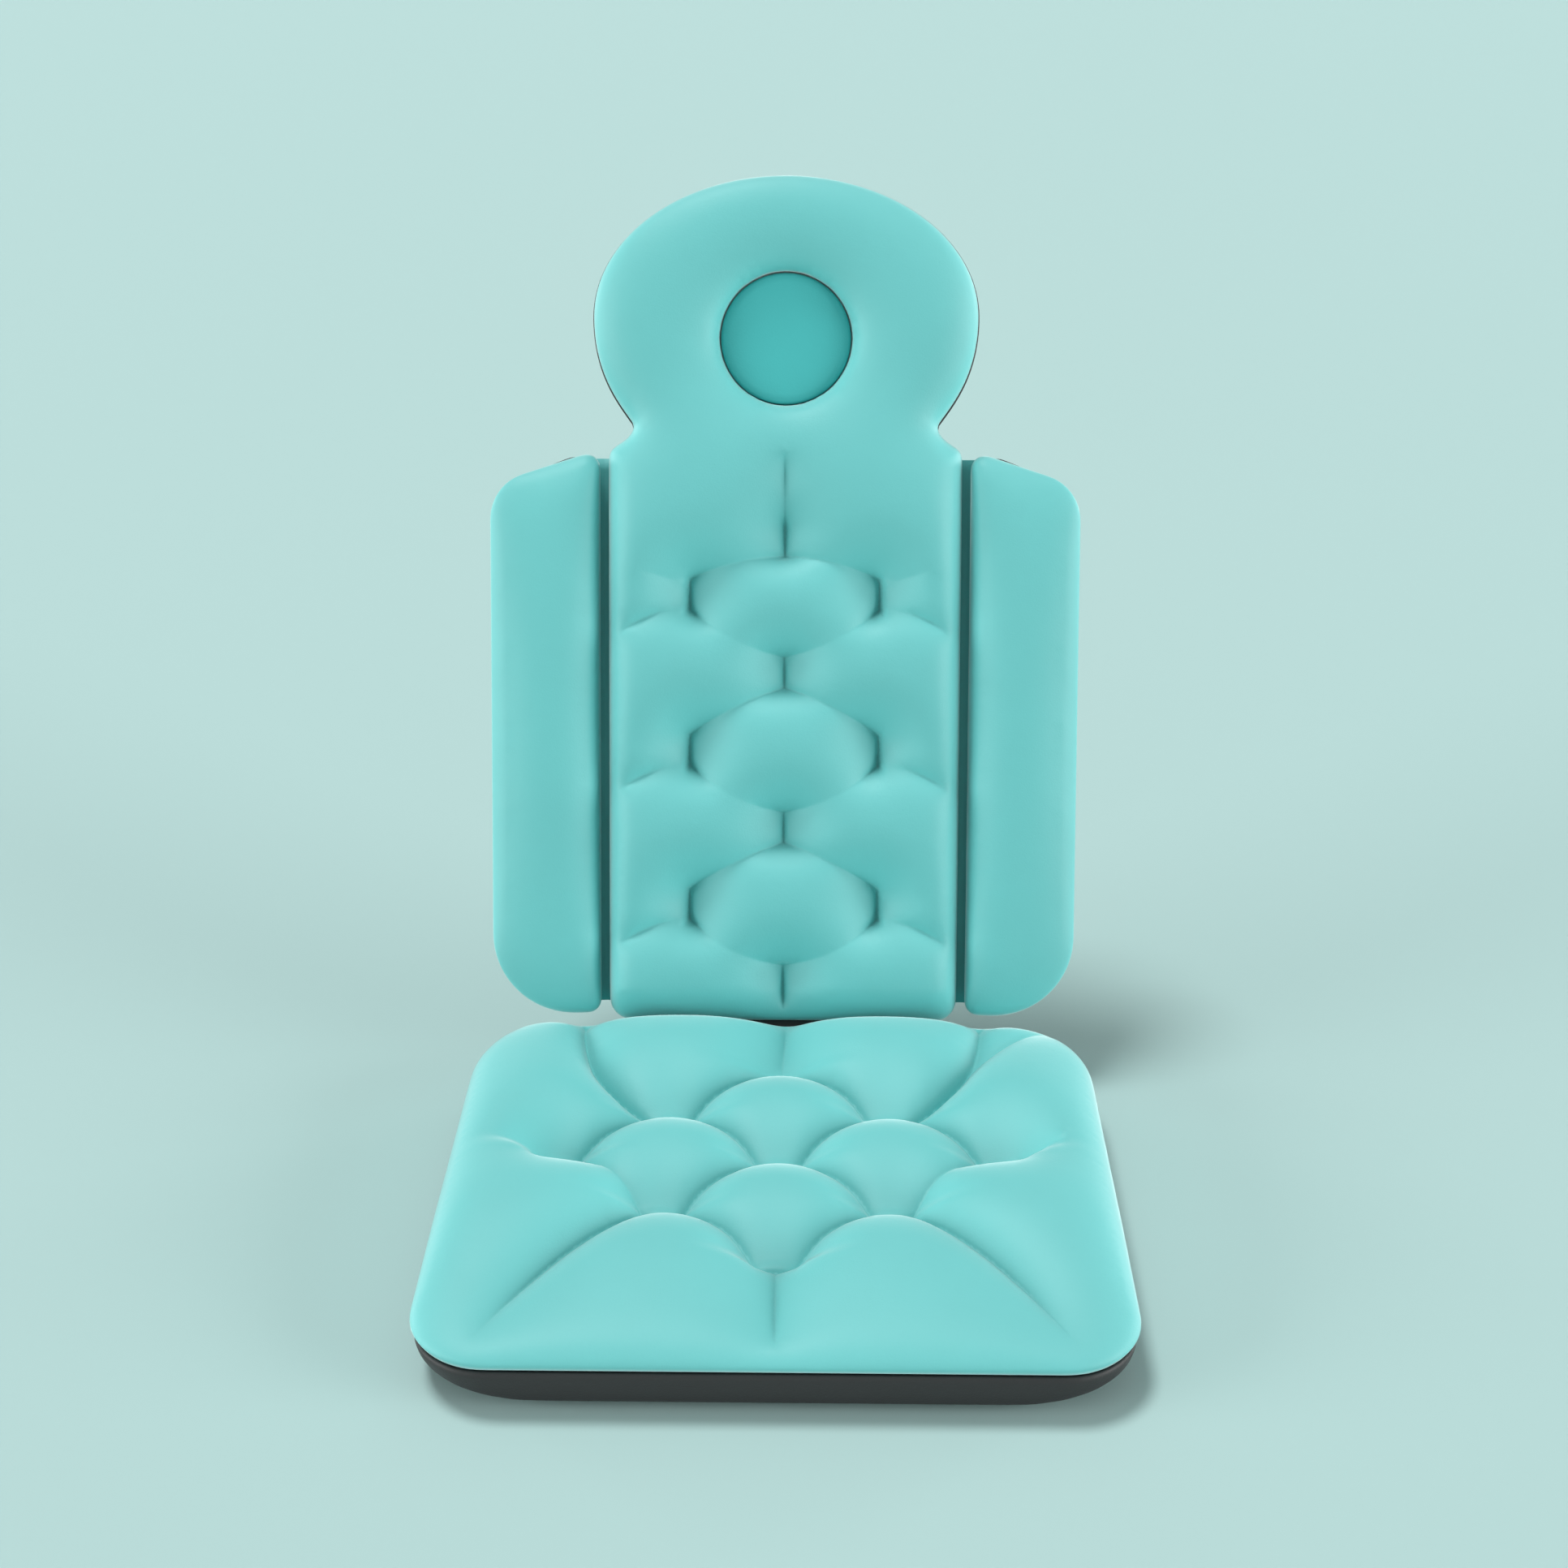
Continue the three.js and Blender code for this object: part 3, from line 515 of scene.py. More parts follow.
def inflate(piece, sewn):
    """Lets air pressure swell a cover between the places where it is sewn, by no more than the cap."""
    scene = bpy.context.scene
    rest = coordinates(piece.data)
    group = piece.vertex_groups.new(name="sewn")
    group.add([int(i) for i in sewn], 1.0, "REPLACE")
    cloth = piece.modifiers.new("swell", "CLOTH")
    cloth.settings.quality = 5
    cloth.settings.mass = 0.2
    cloth.settings.tension_stiffness = 12
    cloth.settings.compression_stiffness = 8
    cloth.settings.shear_stiffness = 5
    cloth.settings.bending_stiffness = 0.4
    cloth.settings.air_damping = 2
    cloth.settings.use_pressure = True
    cloth.settings.uniform_pressure_force = PRESSURE
    cloth.settings.vertex_group_mass = group.name
    cloth.settings.effector_weights.gravity = 0
    cloth.collision_settings.use_collision = False
    for number in range(1, SWELL_FRAMES + 1):
        scene.frame_set(number)
    swollen = piece.evaluated_get(bpy.context.evaluated_depsgraph_get())
    move = coordinates(swollen.data) - rest
    length = np.linalg.norm(move, axis=1)[:, None]
    move *= np.minimum(1, SWELL_LIMIT * MM / np.maximum(length, 1e-9))
    ends = np.empty(len(piece.data.edges) * 2, int)
    piece.data.edges.foreach_get("vertices", ends)
    freedom = np.ones(len(move))
    freedom[sewn] = 0
    move = evened(move * freedom[:, None], ends.reshape(-1, 2), freedom, 10)
    piece.modifiers.remove(cloth)
    piece.vertex_groups.remove(group)
    piece.data.vertices.foreach_set("co", (rest + move).ravel())
    scene.frame_set(1)


def sharpen(mesh, depth):
    """Keeps the creases crisp when the mesh is subdivided."""
    crease = mesh.attributes.new("crease_edge", "FLOAT", "EDGE")
    shallower = [min(depth[i] for i in edge.vertices) for edge in mesh.edges]
    crease.data.foreach_set("value", [CREASE_SHARPNESS * share for share in shallower])


def subdivide(piece):
    modifier = piece.modifiers.new("smooth", "SUBSURF")
    modifier.levels = 1
    fine = bpy.data.meshes.new_from_object(piece.evaluated_get(bpy.context.evaluated_depsgraph_get()))
    piece.modifiers.remove(modifier)
    piece.data = fine
    fine.name = piece.name


def cover(name, outline, creases, crown, spread, place, hole=None):
    """A padded cover: swelling top, side that tucks in to the seam, flat underside."""
    skin = Skin()
    rings = [inset(outline, distance) for distance in RIM_INSETS]
    holes = [] if hole is None else [hole]
    found, faces, ring_ids = triangulate(rings[-1], CELL, holes, creases)
    skin.add(found, 0.0)
    skin.faces += [tuple(face) for face in faces]
    inner = ring_ids[0]
    for ring in rings[-2::-1]:
        ids = skin.add(ring, 0.0)
        skin.band(ids, inner)
        inner = ids
    edge = inner
    lip = ring_ids[1] if holes else []
    flat = np.vstack(skin.points)[:, :2]
    depth = creases.depth(flat) if creases else np.zeros(len(flat))
    swell = puffed(flat, skin.faces, edge, lip, depth, spread(flat))
    if creases:
        swell *= creases.loft(flat)
    skin.points = [np.column_stack([flat, SIDE + (crown(flat) - SIDE) * swell])]
    for share in TUCKS:
        ids = skin.add(inset(outline, DRAW_IN * share), SIDE * (1 - share) ** 0.6)
        skin.band(ids, inner)
        inner = ids
    under = [skin.add(ring, 0.0) for ring in holes]
    for ring in under:
        skin.band(lip, ring)
    skin.fill(inner, [inset(outline, DRAW_IN), *holes], 0.0, 3 * CELL, under, down=True)
    total = np.vstack(skin.points)
    depth = np.concatenate([depth, np.zeros(len(total) - len(depth))])
    underside = np.flatnonzero(total[:, 2] <= 1e-6)
    sewn = {*edge, *lip, *underside, *np.flatnonzero(depth > SEWN_DEPTH)}
    piece = skin.make(name, place)
    sharpen(piece.data, depth)
    inflate(piece, sorted(sewn))
    subdivide(piece)
    return piece


def tray(name, ring, depth, place, holes=()):
    """A soft backing: rounded outside, wall and floor of even thickness, holes for the cups' necks."""
    skin = Skin()
    shares = np.sin(np.radians(np.linspace(0, 90, 9)))
    draws = 1 - np.sqrt(1 - shares ** 2)

    def level(share, wall):
        return lambda points: -SEAM_GAP - (depth(points) - SEAM_GAP - wall) * share

    outer = [ring(draw, 0.0) for draw in draws]
    wells = [ring(draw, WALL) for draw in draws]
    outer_ids = [skin.add(points, level(share, 0.0)(points)) for points, share in zip(outer, shares)]
    well_ids = [skin.add(points, level(share, WALL)(points)) for points, share in zip(wells, shares)]
    for upper, lower in zip(outer_ids, outer_ids[1:]):
        skin.band(lower, upper)
    skin.band(outer_ids[0], well_ids[0])
    for upper, lower in zip(well_ids, well_ids[1:]):
        skin.band(upper, lower)
    below = [skin.add(hole, level(1.0, 0.0)(hole)) for hole in holes]
    above = [skin.add(hole, level(1.0, WALL)(hole)) for hole in holes]
    skin.fill(outer_ids[-1], [outer[-1], *holes], level(1.0, 0.0), FLOOR_CELL, below, down=True)
    skin.fill(well_ids[-1], [wells[-1], *holes], level(1.0, WALL), FLOOR_CELL, above)
    for lower, upper in zip(below, above):
        skin.band(upper, lower)
    return skin.make(name, place)


def block(name, ring, depth, place):
    """The wadding inside a backing, clear of the buttons of its cups."""
    skin = Skin()
    deepest = (depth - SEAM_GAP - WALL - BUTTON_ROOM) / (depth - SEAM_GAP - WALL)
    shares = deepest * np.sin(np.radians(np.linspace(90, 4, 7)))
    levels = -SEAM_GAP - (depth - SEAM_GAP - WALL) * shares
    rings = [ring(1 - math.sqrt(1 - share ** 2), WALL + WADDING_GAP) for share in shares]
    rings.append(inset(rings[-1], 1.0))
    ids = [skin.add(points, z) for points, z in zip(rings, [*levels, -2 * SEAM_GAP])]
    for lower, upper in zip(ids, ids[1:]):
        skin.band(lower, upper)
    skin.fill(ids[0], [rings[0]], levels[0], WADDING_CELL, down=True)
    skin.fill(ids[-1], [rings[-1]], -2 * SEAM_GAP, WADDING_CELL)
    return skin.make(name, place)


def cup(name, centre, depth, place):
    """A suction cup: bell below the backing, neck through its floor, button inside."""
    skin = Skin()
    hollow = bezier((CUP_AXIS, CUP_ROOF), (CUP_RADIUS - 7.4, CUP_ROOF), (CUP_RADIUS - 1.2, -CUP_HEIGHT),
                    steps=9)
    bell = bezier((CUP_RADIUS, -CUP_HEIGHT + 0.3), (CUP_RADIUS - 6, -1.7), (CUP_COLLAR, -CUP_FIT), steps=9)
    button = WALL + CUP_FIT
    top = button + BUTTON_HEIGHT
    stem = [(6.2, -CUP_FIT), (CUP_NECK, -CUP_FIT), (CUP_NECK, button), (CUP_COLLAR, button),
            (BUTTON_RADIUS, button + 0.4), (7.4, button + 1.6), (6.8, top), (CUP_AXIS, top)]
    profile = np.vstack([hollow, [(CUP_RADIUS - 0.4, -CUP_HEIGHT)], bell, stem])
    rings = [circle(centre, radius, 40) for radius, _ in profile]
    ids = [skin.add(ring, z - depth) for ring, (_, z) in zip(rings, profile)]
    for lower, upper in zip(ids, ids[1:]):
        skin.band(lower, upper)
    skin.faces.append(tuple(ids[0][::-1]))
    skin.faces.append(tuple(ids[-1]))
    return skin.make(name, place)


def strip(name, reach, low, high, place):
    """A thin fabric strip along a hinge, with enough columns to bend across it."""
    skin = Skin()
    across, along = np.linspace(-reach, reach, STRIP_COLUMNS), np.linspace(low, high, STRIP_ROWS)
    count, half = STRIP_COLUMNS, STRIP_COLUMNS * STRIP_ROWS
    flat = np.column_stack([np.tile(across, STRIP_ROWS), np.repeat(along, count)])
    skin.add(flat, STRIP_THICKNESS / 2)
    skin.add(flat, -STRIP_THICKNESS / 2)
    for row in range(STRIP_ROWS - 1):
        for column in range(count - 1):
            a = row * count + column
            b = a + count
            skin.faces.append((a, a + 1, b + 1, b))
            skin.faces.append((a + half, b + half, b + 1 + half, a + 1 + half))
    rim = [*range(count), *range(2 * count - 1, half, count), *range(half - 2, half - 1 - count, -1),
           *range(half - 2 * count, 0, -count)]
    skin.band([i + half for i in rim], rim)
    return skin.make(name, place)


# Room for folding

FOLD_SLOPE = 28.0
FOLD_HEIGHT = 0.62


def folded(crown, away):
    """Heights that slope down to the seat hinge, so that seat and back can close a little."""
    return SIDE + (crown - SIDE) * (FOLD_HEIGHT + (1 - FOLD_HEIGHT) * rise(away, 0.0, FOLD_SLOPE))


# Seat

SEAT_PITCH = (73.0, 52.0)
SEAT_TUFT_CENTRE = SEAT_REAR - 182.0
SEAT_SLIT = 12.0
SEAT_CROWN = 47.0
SEAT_FRONT_DROP = 14
SEAT_FRONT_SLOPE = (-10, 130)
SEAT_SPREAD = 28
SEAT_FRONT_SPREAD = 20
SEAT_DIMPLE = (0.55, (30.0, 44.0), (-4.0, 10.0))
SEAT_TUFT_DEPTH = 0.92
SEAT_PLEAT_DEPTH = 0.72
SEAT_OUTER_PLEAT_DEPTH = 0.5
SEAT_FADED = 0.2
SEAT_PLEAT_BOW = 7.0
SEAT_BEND = (131.0, 76)
SEAT_REAR_END = 142.0
SEAT_FRONT_END = (178.0, 10)
SEAT_CORNER_END = (190.0, 28)


def seat_creases():
    creases = Creases(*SEAT_DIMPLE)

    def tuft(column, row):
        return np.array([column * SEAT_PITCH[0], SEAT_TUFT_CENTRE + row * SEAT_PITCH[1]])

    tufts = [(0, 2), (-1, 1), (1, 1), (-2, 0), (0, 0), (2, 0), (-1, -1), (1, -1), (0, -2)]
    end = np.array([SEAT_SLIT, 0.0])
    deep = (SEAT_TUFT_DEPTH, SEAT_TUFT_DEPTH)
    for column, row in tufts:
        centre = tuft(column, row)
        creases.sew(centre, end, SEAT_TUFT_DEPTH)
        for side in (-1, 1):
            ahead = (column + side, row - 1)
            outermost = abs(column) == 2
            if ahead in tufts:
                middle = SEAT_OUTER_PLEAT_DEPTH if outermost else SEAT_PLEAT_DEPTH
                creases.add(centre + side * end, tuft(*ahead) - side * end, deep, middle,
                            bow=SEAT_PLEAT_BOW * side)
    fading = (SEAT_PLEAT_DEPTH, SEAT_PLEAT_DEPTH * 0.8)
    for side in (-1, 1):
        bend = np.array([SEAT_BEND[0] * side, SEAT_REAR - SEAT_BEND[1]])
        rear = (SEAT_REAR_END * side, SEAT_REAR)
        front = (SEAT_FRONT_END[0] * side, SEAT_FRONT + SEAT_FRONT_END[1])
        creases.add(tuft(side, 1) + side * end, bend, (SEAT_TUFT_DEPTH, SEAT_PLEAT_DEPTH), bow=-5.0 * side)
        creases.add(bend, rear, fading, bow=-3.0 * side)
        creases.add(tuft(side, -1) + side * end, front, (SEAT_TUFT_DEPTH, SEAT_FADED), SEAT_PLEAT_DEPTH,
                    bow=9.0 * side)
    corner = (SEAT_PLEAT_DEPTH, SEAT_PLEAT_DEPTH * 0.3)
    creases.add((SEAT_BEND[0], SEAT_REAR - SEAT_BEND[1]),
                (SEAT_CORNER_END[0], SEAT_REAR - SEAT_CORNER_END[1]), corner, bow=4.0)
    creases.add(tuft(2, 0) + end, tuft(2.6, 0.3), (0.6, 0.0))
    creases.add(tuft(0, 2), (4.0, SEAT_REAR), corner, SEAT_PLEAT_DEPTH * 0.8)
    creases.add(tuft(0, -2), (0, SEAT_FRONT + 5), (SEAT_TUFT_DEPTH, SEAT_FADED), SEAT_PLEAT_DEPTH)
    return creases


def seat_cover():
    def crown(points):
        low, high = (SEAT_FRONT + reach for reach in SEAT_FRONT_SLOPE)
        height = SEAT_CROWN - SEAT_FRONT_DROP * (1 - rise(points[:, 1], low, high))
        return folded(height, SEAT_REAR - points[:, 1])

    def spread(points):
        behind = rise(points[:, 1], SEAT_FRONT + 20, SEAT_TUFT_CENTRE - 40)
        return SEAT_SPREAD + SEAT_FRONT_SPREAD * (1 - behind)

    return cover("seat_cover", seat_outline(), seat_creases(), crown, spread, on_seat)


# Back, neck and head

BACK_PITCH = (68.0, 56.0)
BACK_TUFT_LOWEST = 40.0
BACK_TOP_TUFT = 358.0
BACK_SLIT = 11.0
PANEL_CROWN = 43.0
HEAD_CROWN = 40.0
BACK_SPREAD = 13
HEAD_SPREAD = 20
HEAD_SPREAD_FROM = (372.0, 470.0)
MIDDLE_SPREAD = 14
MIDDLE = (70, 110)
BACK_DIMPLE = (0.42, (30.0, 34.0), (-40.0, 14.0))
BACK_TUFT_DEPTH = 0.9
BACK_PLEAT_DEPTH = 0.5
LOWER_PLEAT_DEPTH = 0.3
BACK_PLEAT_BOW = -4.0
ARCH_END = (12, 26)
ARCH_DEPTH = 0.4
ARCH_BOW = 5.0
TOP_FOLD = (42.0, 20.0)
RECESS_POINTS = 72
RECESS_GAP = 0.5
RECESS_PROFILE = ((1.0, 0.2), (1.0, 3.4), (0.985, 5.2), (0.95, 6.3), (0.85, 6.9), (0.6, 7.4), (0.3, 7.6))


def back_creases():
    creases = Creases(*BACK_DIMPLE)

    def tuft(column, row):
        height = BACK_TOP_TUFT if row == 6 else BACK_TUFT_LOWEST + row * BACK_PITCH[1]
        return np.array([column * BACK_PITCH[0], height])

    end = np.array([0.0, BACK_SLIT])
    deep = (BACK_TUFT_DEPTH, BACK_TUFT_DEPTH)
    for row in range(7):
        for column in ((0,) if row % 2 == 0 else (-1, 1)):
            centre = tuft(column, row)
            creases.sew(centre, end, BACK_TUFT_DEPTH)
    for side in (-1, 1):
        for row in (1, 3, 5):
            beside = tuft(side, row)
            bow = BACK_PLEAT_BOW * side
            creases.add(tuft(0, row - 1) + end, beside - end, deep, LOWER_PLEAT_DEPTH, bow)
            creases.add(beside + end, tuft(0, row + 1) - end, deep, BACK_PLEAT_DEPTH, bow)
            outer = (side * (PANEL_HALF - ARCH_END[0]), beside[1] - ARCH_END[1])
            creases.add(beside - end, outer, (BACK_PLEAT_DEPTH, 0.2), ARCH_DEPTH, ARCH_BOW * side)
        beside = tuft(side, 5)
        creases.add(beside + end * 0.6, beside + (side * TOP_FOLD[0], TOP_FOLD[1]), (BACK_PLEAT_DEPTH, 0.0))
    creases.add(tuft(0, 6) + end, (0.0, SHOULDER + 6), (BACK_TUFT_DEPTH, 0.0), BACK_PLEAT_DEPTH)
    creases.add(tuft(0, 0) - end, (0.0, HINGE_GAP + 6), (BACK_TUFT_DEPTH, 0.4))
    return creases


def back_cover():
    def crown(points):
        on_head = rise(points[:, 1], SHOULDER - 20, HEAD_WIDEST - 30)
        height = PANEL_CROWN + (HEAD_CROWN - PANEL_CROWN) * on_head
        return folded(height, points[:, 1] - HINGE_GAP)

    def spread(points):
        on_head = rise(points[:, 1], *HEAD_SPREAD_FROM)
        outside = rise(np.abs(points[:, 0]), *MIDDLE)
        return BACK_SPREAD + HEAD_SPREAD * on_head + MIDDLE_SPREAD * (1 - outside)

    outline = back_outline(SHOULDER_RADIUS)
    recess = circle(RECESS_CENTRE, RECESS_RADIUS, RECESS_POINTS)
    return cover("back_cover", outline, back_creases(), crown, spread, on_back, recess)


def recess_panel():
    """The sunken disc, a little domed, its edge turned down all round."""
    skin = Skin()
    radius = RECESS_RADIUS - RECESS_GAP
    rings = [circle(RECESS_CENTRE, radius * share, RECESS_POINTS) for share, _ in RECESS_PROFILE]
    ids = [skin.add(ring, z) for ring, (_, z) in zip(rings, RECESS_PROFILE)]
    for outer, inner in zip(ids, ids[1:]):
        skin.band(outer, inner)
    skin.fill(ids[-1], [rings[-1]], RECESS_PROFILE[-1][1], CELL)
    skin.fill(ids[0], [rings[0]], RECESS_PROFILE[0][1], 3 * CELL, down=True)
    return skin.make("head_recess_disc", on_back)


# Wings

WING_CROWN = 32.0
WING_SPREAD = 9
WING_OUTER_SPREAD = 34


def wing_cover(name, place):
    def crown(points):
        return np.full(len(points), WING_CROWN)

    def spread(points):
        outward = rise(points[:, 0], GROOVE / 2, GROOVE / 2 + WING_WIDTH * 0.6)
        return WING_SPREAD + WING_OUTER_SPREAD * outward

    return cover(name, wing_outline(WING_INNER_RADIUS), None, crown, spread, place)


# Materials

def add_node(tree, kind, **values):
    node = tree.nodes.new(kind)
    for socket, value in values.items():
        node.inputs[socket.replace("_", " ")].default_value = value
    return node


def material(name, colour, roughness):
    made = bpy.data.materials.new(name)
    made.use_nodes = True
    shader = made.node_tree.nodes["Principled BSDF"]
    shader.inputs["Base Color"].default_value = (*colour, 1)
    shader.inputs["Roughness"].default_value = roughness
    return made, shader


def fabric(name, colour, sheen, thread, relief, painted_rim_glow=0.0):
    """Cloth with faint patches of colour, a fine knit and soft crinkles, and a painted highlight that makes
    it paler where it turns away from the view.
    """
    made, shader = material(name, colour, 0.55)
    shader.inputs["Sheen Weight"].default_value = sheen
    shader.inputs["Sheen Roughness"].default_value = 0.3
    shader.inputs["Sheen Tint"].default_value = (0.86, 1.0, 0.99, 1)
    shader.inputs["Specular IOR Level"].default_value = 0.5
    tree = made.node_tree
    place = add_node(tree, "ShaderNodeTexCoord")
    patches = add_node(tree, "ShaderNodeTexNoise", Scale=11.0, Detail=3.0)
    tint = add_node(tree, "ShaderNodeMix")
    tint.data_type = "RGBA"
    tint.inputs["A"].default_value = (*(0.94 * level for level in colour), 1)
    tint.inputs["B"].default_value = (*(min(1.0, 1.06 * level) for level in colour), 1)
    # Painted rim highlight: where the surface turns away from the view, the base colour is mixed towards
    # pale teal by up to the given share. This stands in for light along the rims.
    away = add_node(tree, "ShaderNodeLayerWeight", Blend=0.5)
    turned = add_node(tree, "ShaderNodeMapRange", From_Min=0.45, From_Max=1.0, To_Min=0.0, To_Max=painted_rim_glow)
    painted_rim_highlight = add_node(tree, "ShaderNodeMix")
    painted_rim_highlight.data_type = "RGBA"
    painted_rim_highlight.inputs["B"].default_value = (0.60, 0.88, 0.88, 1)
    knit = add_node(tree, "ShaderNodeTexNoise", Scale=thread, Detail=2.0)
    crinkle = add_node(tree, "ShaderNodeTexNoise", Scale=70.0, Detail=3.0)
    fine = add_node(tree, "ShaderNodeBump", Strength=relief, Distance=0.0005)
    broad = add_node(tree, "ShaderNodeBump", Strength=relief, Distance=0.0012)
    for texture in (patches, knit, crinkle):
        tree.links.new(place.outputs["Object"], texture.inputs["Vector"])
    tree.links.new(patches.outputs["Fac"], tint.inputs["Factor"])
    tree.links.new(away.outputs["Facing"], turned.inputs["Value"])
    tree.links.new(turned.outputs["Result"], painted_rim_highlight.inputs["Factor"])
    tree.links.new(tint.outputs["Result"], painted_rim_highlight.inputs["A"])
    tree.links.new(painted_rim_highlight.outputs["Result"], shader.inputs["Base Color"])
    tree.links.new(crinkle.outputs["Fac"], broad.inputs["Height"])
    tree.links.new(broad.outputs["Normal"], fine.inputs["Normal"])
    tree.links.new(knit.outputs["Fac"], fine.inputs["Height"])
    tree.links.new(fine.outputs["Normal"], shader.inputs["Normal"])
    return made


def rubber(name):
    made, shader = material(name, (0.88, 0.94, 0.94), 0.15)
    shader.inputs["Transmission Weight"].default_value = 0.9
    shader.inputs["IOR"].default_value = 1.4
    return made


FINISHES = {
    # The teal cover gets a painted rim highlight of up to 0.2.
    "teal_fabric": fabric("teal_fabric", (0.170, 0.595, 0.588), 1.0, 900.0, 0.18, painted_rim_glow=0.2),
    "deep_teal_fabric": fabric("deep_teal_fabric", (0.078, 0.55, 0.55), 0.3, 900.0, 0.18),
    "grey_fabric": fabric("grey_fabric", (0.026, 0.022, 0.023), 0.0, 700.0, 0.35),
    "wadding": fabric("wadding", (0.80, 0.80, 0.78), 0.4, 300.0, 0.5),
    "clear_rubber": rubber("clear_rubber"),
}


# Assembly

def finish(piece, slot, *nodes):
    piece.data.materials.clear()
    piece.data.materials.append(FINISHES[slot])
    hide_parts(*nodes)
    return piece


def riding(piece, body, slot, *nodes):
    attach(piece, body)
    return finish(piece, slot, *nodes)


def bending(piece, first, second, start, end, slot, *nodes):
    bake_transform(piece)
    return finish(piece, slot, *nodes)


def back_point(x, y):
    return on_back(np.array([[x, y, 0.0]]))[0]


def even(depth):
    return lambda points: np.full(len(points), depth)


def cup_holes(places):
    return [circle(place, CUP_NECK + CUP_FIT, 20) for place in places]


# Seat pieces

SEAT_CUP_REACH = 118.0
SEAT_CUP_MARGIN = 38
SEAT_CUP_ROWS = (SEAT_REAR - SEAT_CUP_MARGIN, (SEAT_REAR + SEAT_FRONT) / 2, SEAT_FRONT + SEAT_CUP_MARGIN)
SEAT_CUPS = [(x, y) for y in SEAT_CUP_ROWS for x in (-SEAT_CUP_REACH, SEAT_CUP_REACH)]
SEAT_BASE_INSET = 2.0


def seat_ring(draw, wall):
    return seat_outline(SEAT_BASE_INSET + draw * SEAT_BASE_TAPER + wall, draw * SEAT_BASE_ROUNDING)


seat = riding(seat_cover(), "seat", "teal_fabric", "seat_cushion")
seat_base = tray("seat_base_tray", seat_ring, even(SEAT_BASE_HEIGHT), on_seat, cup_holes(SEAT_CUPS))
riding(seat_base, "seat", "grey_fabric", "seat_base")
seat_wadding = riding(block("seat_wadding", seat_ring, SEAT_BASE_HEIGHT, on_seat), "seat", "wadding",
                      "seat_filling")
for i, place in enumerate(SEAT_CUPS, 1):
    riding(cup(f"seat_sucker_{i}", place, SEAT_BASE_HEIGHT, on_seat), "seat", "clear_rubber",
           f"seat_cup_{i}")


# Back, neck and head pieces

BACK_CUP_REACH = 78.5
HEAD_CUP_REACH = 92.0
BACK_CUPS = [(x, y) for y in (95.0, 325.0) for x in (-BACK_CUP_REACH, BACK_CUP_REACH)]
HEAD_CUPS = [(x, RECESS_CENTRE[1]) for x in (-HEAD_CUP_REACH, HEAD_CUP_REACH)]
NECK_DIP = (31, 15)
PANEL_WADDING_INSET = 3.5
HEAD_WADDING_CENTRE = (0.0, 533.0)
HEAD_WADDING_SIZE = (120.0, 78.0)
NECK_SPAN = (back_point(0.0, NECK_HINGE - NECK_BEND), back_point(0.0, NECK_HINGE + NECK_BEND))
backing_outline = back_outline(BACKING_SHOULDER_RADIUS)
backing_edge = 3.0 - 4.0 * rise(backing_outline[:, 1], SHOULDER - 15, SHOULDER + 5)


def back_depth(points):
    y = points[:, 1]
    far, near = NECK_DIP
    above = rise(y, NECK_HINGE - far, NECK_HINGE - near)
    narrow = above * (1 - rise(y, NECK_HINGE + near, NECK_HINGE + far))
    return BACKING_HEIGHT + (NECK_BACKING_HEIGHT - BACKING_HEIGHT) * narrow


def back_ring(draw, wall):
    return inset(backing_outline, backing_edge + draw * BACKING_TAPER + wall)


def panel_ring(draw, wall):
    corner = PANEL_CORNER + 2
    outline = rounded(PANEL_HALF, HINGE_GAP, SHOULDER - 20, corner, corner, 120)
    return inset(outline, PANEL_WADDING_INSET + draw * BACKING_TAPER + wall)


def head_ring(draw, wall):
    half, height = HEAD_WADDING_SIZE
    outline = arc(HEAD_WADDING_CENTRE, half, -90, 270, height=height, steps=121)[:-1]
    return inset(outline, draw * BACKING_TAPER + wall)


back = bending(back_cover(), "backrest", "headrest", *NECK_SPAN, "teal_fabric", "back_cushion",
               "neck_cushion", "head_cushion")
disc = riding(recess_panel(), "headrest", "deep_teal_fabric", "head_recess_panel")
shell = tray("back_shell", back_ring, back_depth, on_back, cup_holes(BACK_CUPS + HEAD_CUPS))
bending(shell, "backrest", "headrest", *NECK_SPAN, "grey_fabric", "back_backing", "neck_backing",
        "head_backing")
for body, prefix, ring, places in (("backrest", "back", panel_ring, BACK_CUPS),
                                   ("headrest", "head", head_ring, HEAD_CUPS)):
    wadding = block(f"{prefix}_wadding", ring, BACKING_HEIGHT, on_back)
    riding(wadding, body, "wadding", f"{prefix}_filling")
    for i, place in enumerate(places, 1):
        riding(cup(f"{prefix}_sucker_{i}", place, BACKING_HEIGHT, on_back), body, "clear_rubber",
               f"{prefix}_cup_{i}")


# Wing pieces

WING_BACKING_RADIUS = 16.0
STRIP_MARGIN = 0.6
STRIP_REACH = GROOVE / 2 + DRAW_IN - STRIP_MARGIN
WING_BEND = (-4.0, 24.0)
wing_backing_outline = wing_outline(WING_BACKING_RADIUS)
wing_edge = 3.0 - 1.6 * rise(wing_backing_outline[:, 0], 6.0, 30.0)


def wing_ring(draw, wall):
    return inset(wing_backing_outline, wing_edge + draw * BACKING_TAPER + wall)


def in_groove(side):
    def place(points):
        flat = on_back(points * [side, 1, 1] + [side * WING_HINGE, 0, 0])
        return np.where(points[:, :1] > 0, on_wing(side)(points), flat)

    return place


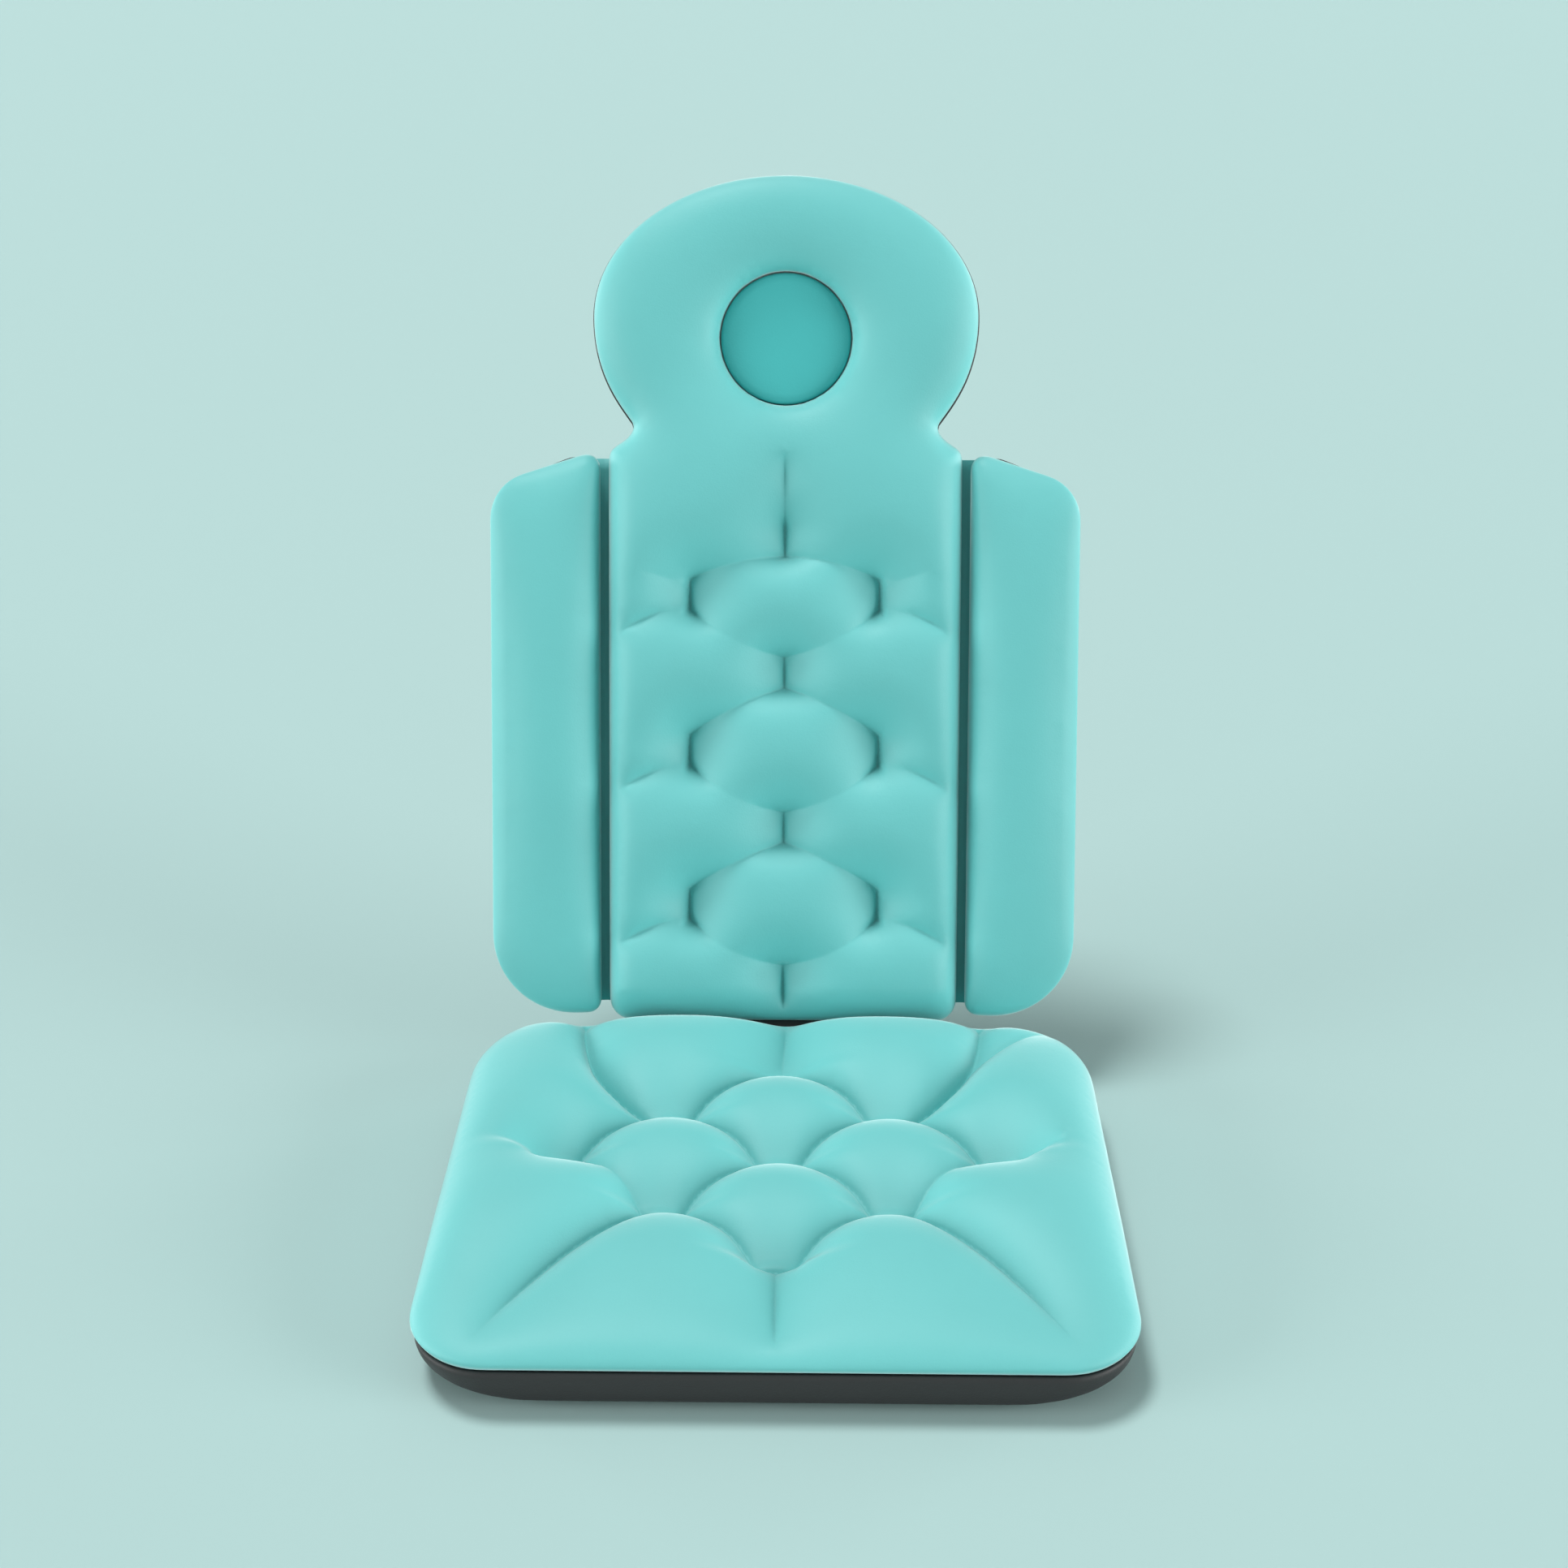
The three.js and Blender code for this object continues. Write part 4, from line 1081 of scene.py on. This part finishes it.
for name, side in (("left", -1), ("right", 1)):
    body = f"{name}_wing"
    place = on_wing(side)
    bend = [back_point(side * (WING_HINGE + reach), 200.0) for reach in WING_BEND]
    wing = bending(wing_cover(f"{name}_wing_cover", place), "backrest", body, *bend, "teal_fabric",
                   f"{name}_wing_cushion")
    wing_shell = tray(f"{name}_wing_shell", wing_ring, even(BACKING_HEIGHT), place)
    bending(wing_shell, "backrest", body, *bend, "grey_fabric", f"{name}_wing_backing")
    wadding = block(f"{name}_wing_wadding", wing_ring, BACKING_HEIGHT, place)
    bending(wadding, "backrest", body, *bend, "wadding", f"{name}_wing_filling")
    low, high = WING_FOOT + 8, SHOULDER - 3
    groove = strip(f"{name}_groove", STRIP_REACH, low, high, in_groove(side))
    bending(groove, "backrest", body, *bend, "teal_fabric", f"{name}_wing_web")


# Strip between seat and back

HINGE_REACH = HINGE_GAP + DRAW_IN - STRIP_MARGIN
HINGE_STRIP_HALF = PANEL_HALF - PANEL_CORNER


def at_seat_hinge(points):
    share = (points[:, :1] / HINGE_REACH + 1) / 2
    line = HINGE_REACH * (share ** 2 * UP_BACK - (1 - share) ** 2 * np.array([0.0, 1.0, 0.0]))
    out = (1 - share) * np.array([0.0, 0.0, 1.0]) + share * OUT_OF_BACK
    out /= np.linalg.norm(out, axis=1)[:, None]
    return (HINGE + points[:, 1:2] * ACROSS + line + points[:, 2:] * out) * MM


hinge = strip("seat_hinge_strip", HINGE_REACH, -HINGE_STRIP_HALF, HINGE_STRIP_HALF, at_seat_hinge)
bending(hinge, "seat", "backrest", (HINGE - [0, HINGE_GAP, 0]) * MM, back_point(0.0, HINGE_GAP),
        "grey_fabric", "seat_hinge_web")


# Floor, light and camera

FLOOR = 20.0
FLOOR_COLOUR = (0.475, 0.69, 0.67)
WORLD_STRENGTH = 0.24
BACKDROP = (0.52, 0.74, 0.72, 1)
floor_mesh = bpy.data.meshes.new("floor")
floor_mesh.from_pydata([(-FLOOR, -FLOOR, 0), (FLOOR, -FLOOR, 0), (FLOOR, FLOOR, 0), (-FLOOR, FLOOR, 0)],
                       [], [(0, 1, 2, 3)])
floor = bpy.data.objects.new("floor", floor_mesh)
bpy.context.scene.collection.objects.link(floor)
floor_mesh.materials.append(material("pale_floor", FLOOR_COLOUR, 0.8)[0])

world = bpy.data.worlds.new("studio")
world.use_nodes = True
sky = world.node_tree
sky.nodes["Background"].inputs["Color"].default_value = (1, 1, 1, 1)
sky.nodes["Background"].inputs["Strength"].default_value = WORLD_STRENGTH
backdrop = add_node(sky, "ShaderNodeBackground", Color=BACKDROP, Strength=1.0)
rays = add_node(sky, "ShaderNodeLightPath")
seen = add_node(sky, "ShaderNodeMath")
seen.operation = "MAXIMUM"
through = add_node(sky, "ShaderNodeMath")
through.operation = "MAXIMUM"
either = add_node(sky, "ShaderNodeMixShader")
sky.links.new(rays.outputs["Is Camera Ray"], seen.inputs[0])
sky.links.new(rays.outputs["Is Glossy Ray"], seen.inputs[1])
sky.links.new(seen.outputs["Value"], through.inputs[0])
sky.links.new(rays.outputs["Is Transmission Ray"], through.inputs[1])
sky.links.new(through.outputs["Value"], either.inputs["Fac"])
sky.links.new(sky.nodes["Background"].outputs["Background"], either.inputs[1])
sky.links.new(backdrop.outputs["Background"], either.inputs[2])
sky.links.new(either.outputs["Shader"], sky.nodes["World Output"].inputs["Surface"])
bpy.context.scene.world = world


def sun(name, towards, power, spread):
    light = bpy.data.lights.new(name, "SUN")
    light.energy = power
    light.angle = math.radians(spread)
    holder = bpy.data.objects.new(name, light)
    holder.rotation_euler = Vector(towards).to_track_quat("-Z", "Y").to_euler()
    bpy.context.scene.collection.objects.link(holder)


for name, towards, power, spread in (
    ("key", (0.25, -0.14, -0.95), 1.6, 16),
    ("left_side", (0.94, 0.30, -0.13), 2.3, 40),
    ("right_side", (-0.94, 0.30, -0.13), 2.8, 40),
    ("left_rim", (0.85, -0.52, -0.02), 1.0, 20),
    ("right_rim", (-0.85, -0.52, -0.02), 1.4, 20),
):
    sun(name, towards, power, spread)

IMAGE = 1932.0
FOCAL = 2676.0
CAMERA_PLACE = (0.020, -1.289, 0.871)
CAMERA_DOWN = 25
CAMERA_LEFT = 0.8
camera = bpy.data.cameras.new("camera")
camera.sensor_width = 36
camera.lens = camera.sensor_width * FOCAL / IMAGE
camera.clip_end = 100
view = bpy.data.objects.new("camera", camera)
view.location = CAMERA_PLACE
view.rotation_euler = (math.radians(90 - CAMERA_DOWN), 0, math.radians(CAMERA_LEFT))
bpy.context.scene.collection.objects.link(view)
bpy.context.scene.camera = view
bpy.context.scene.view_settings.view_transform = "Standard"
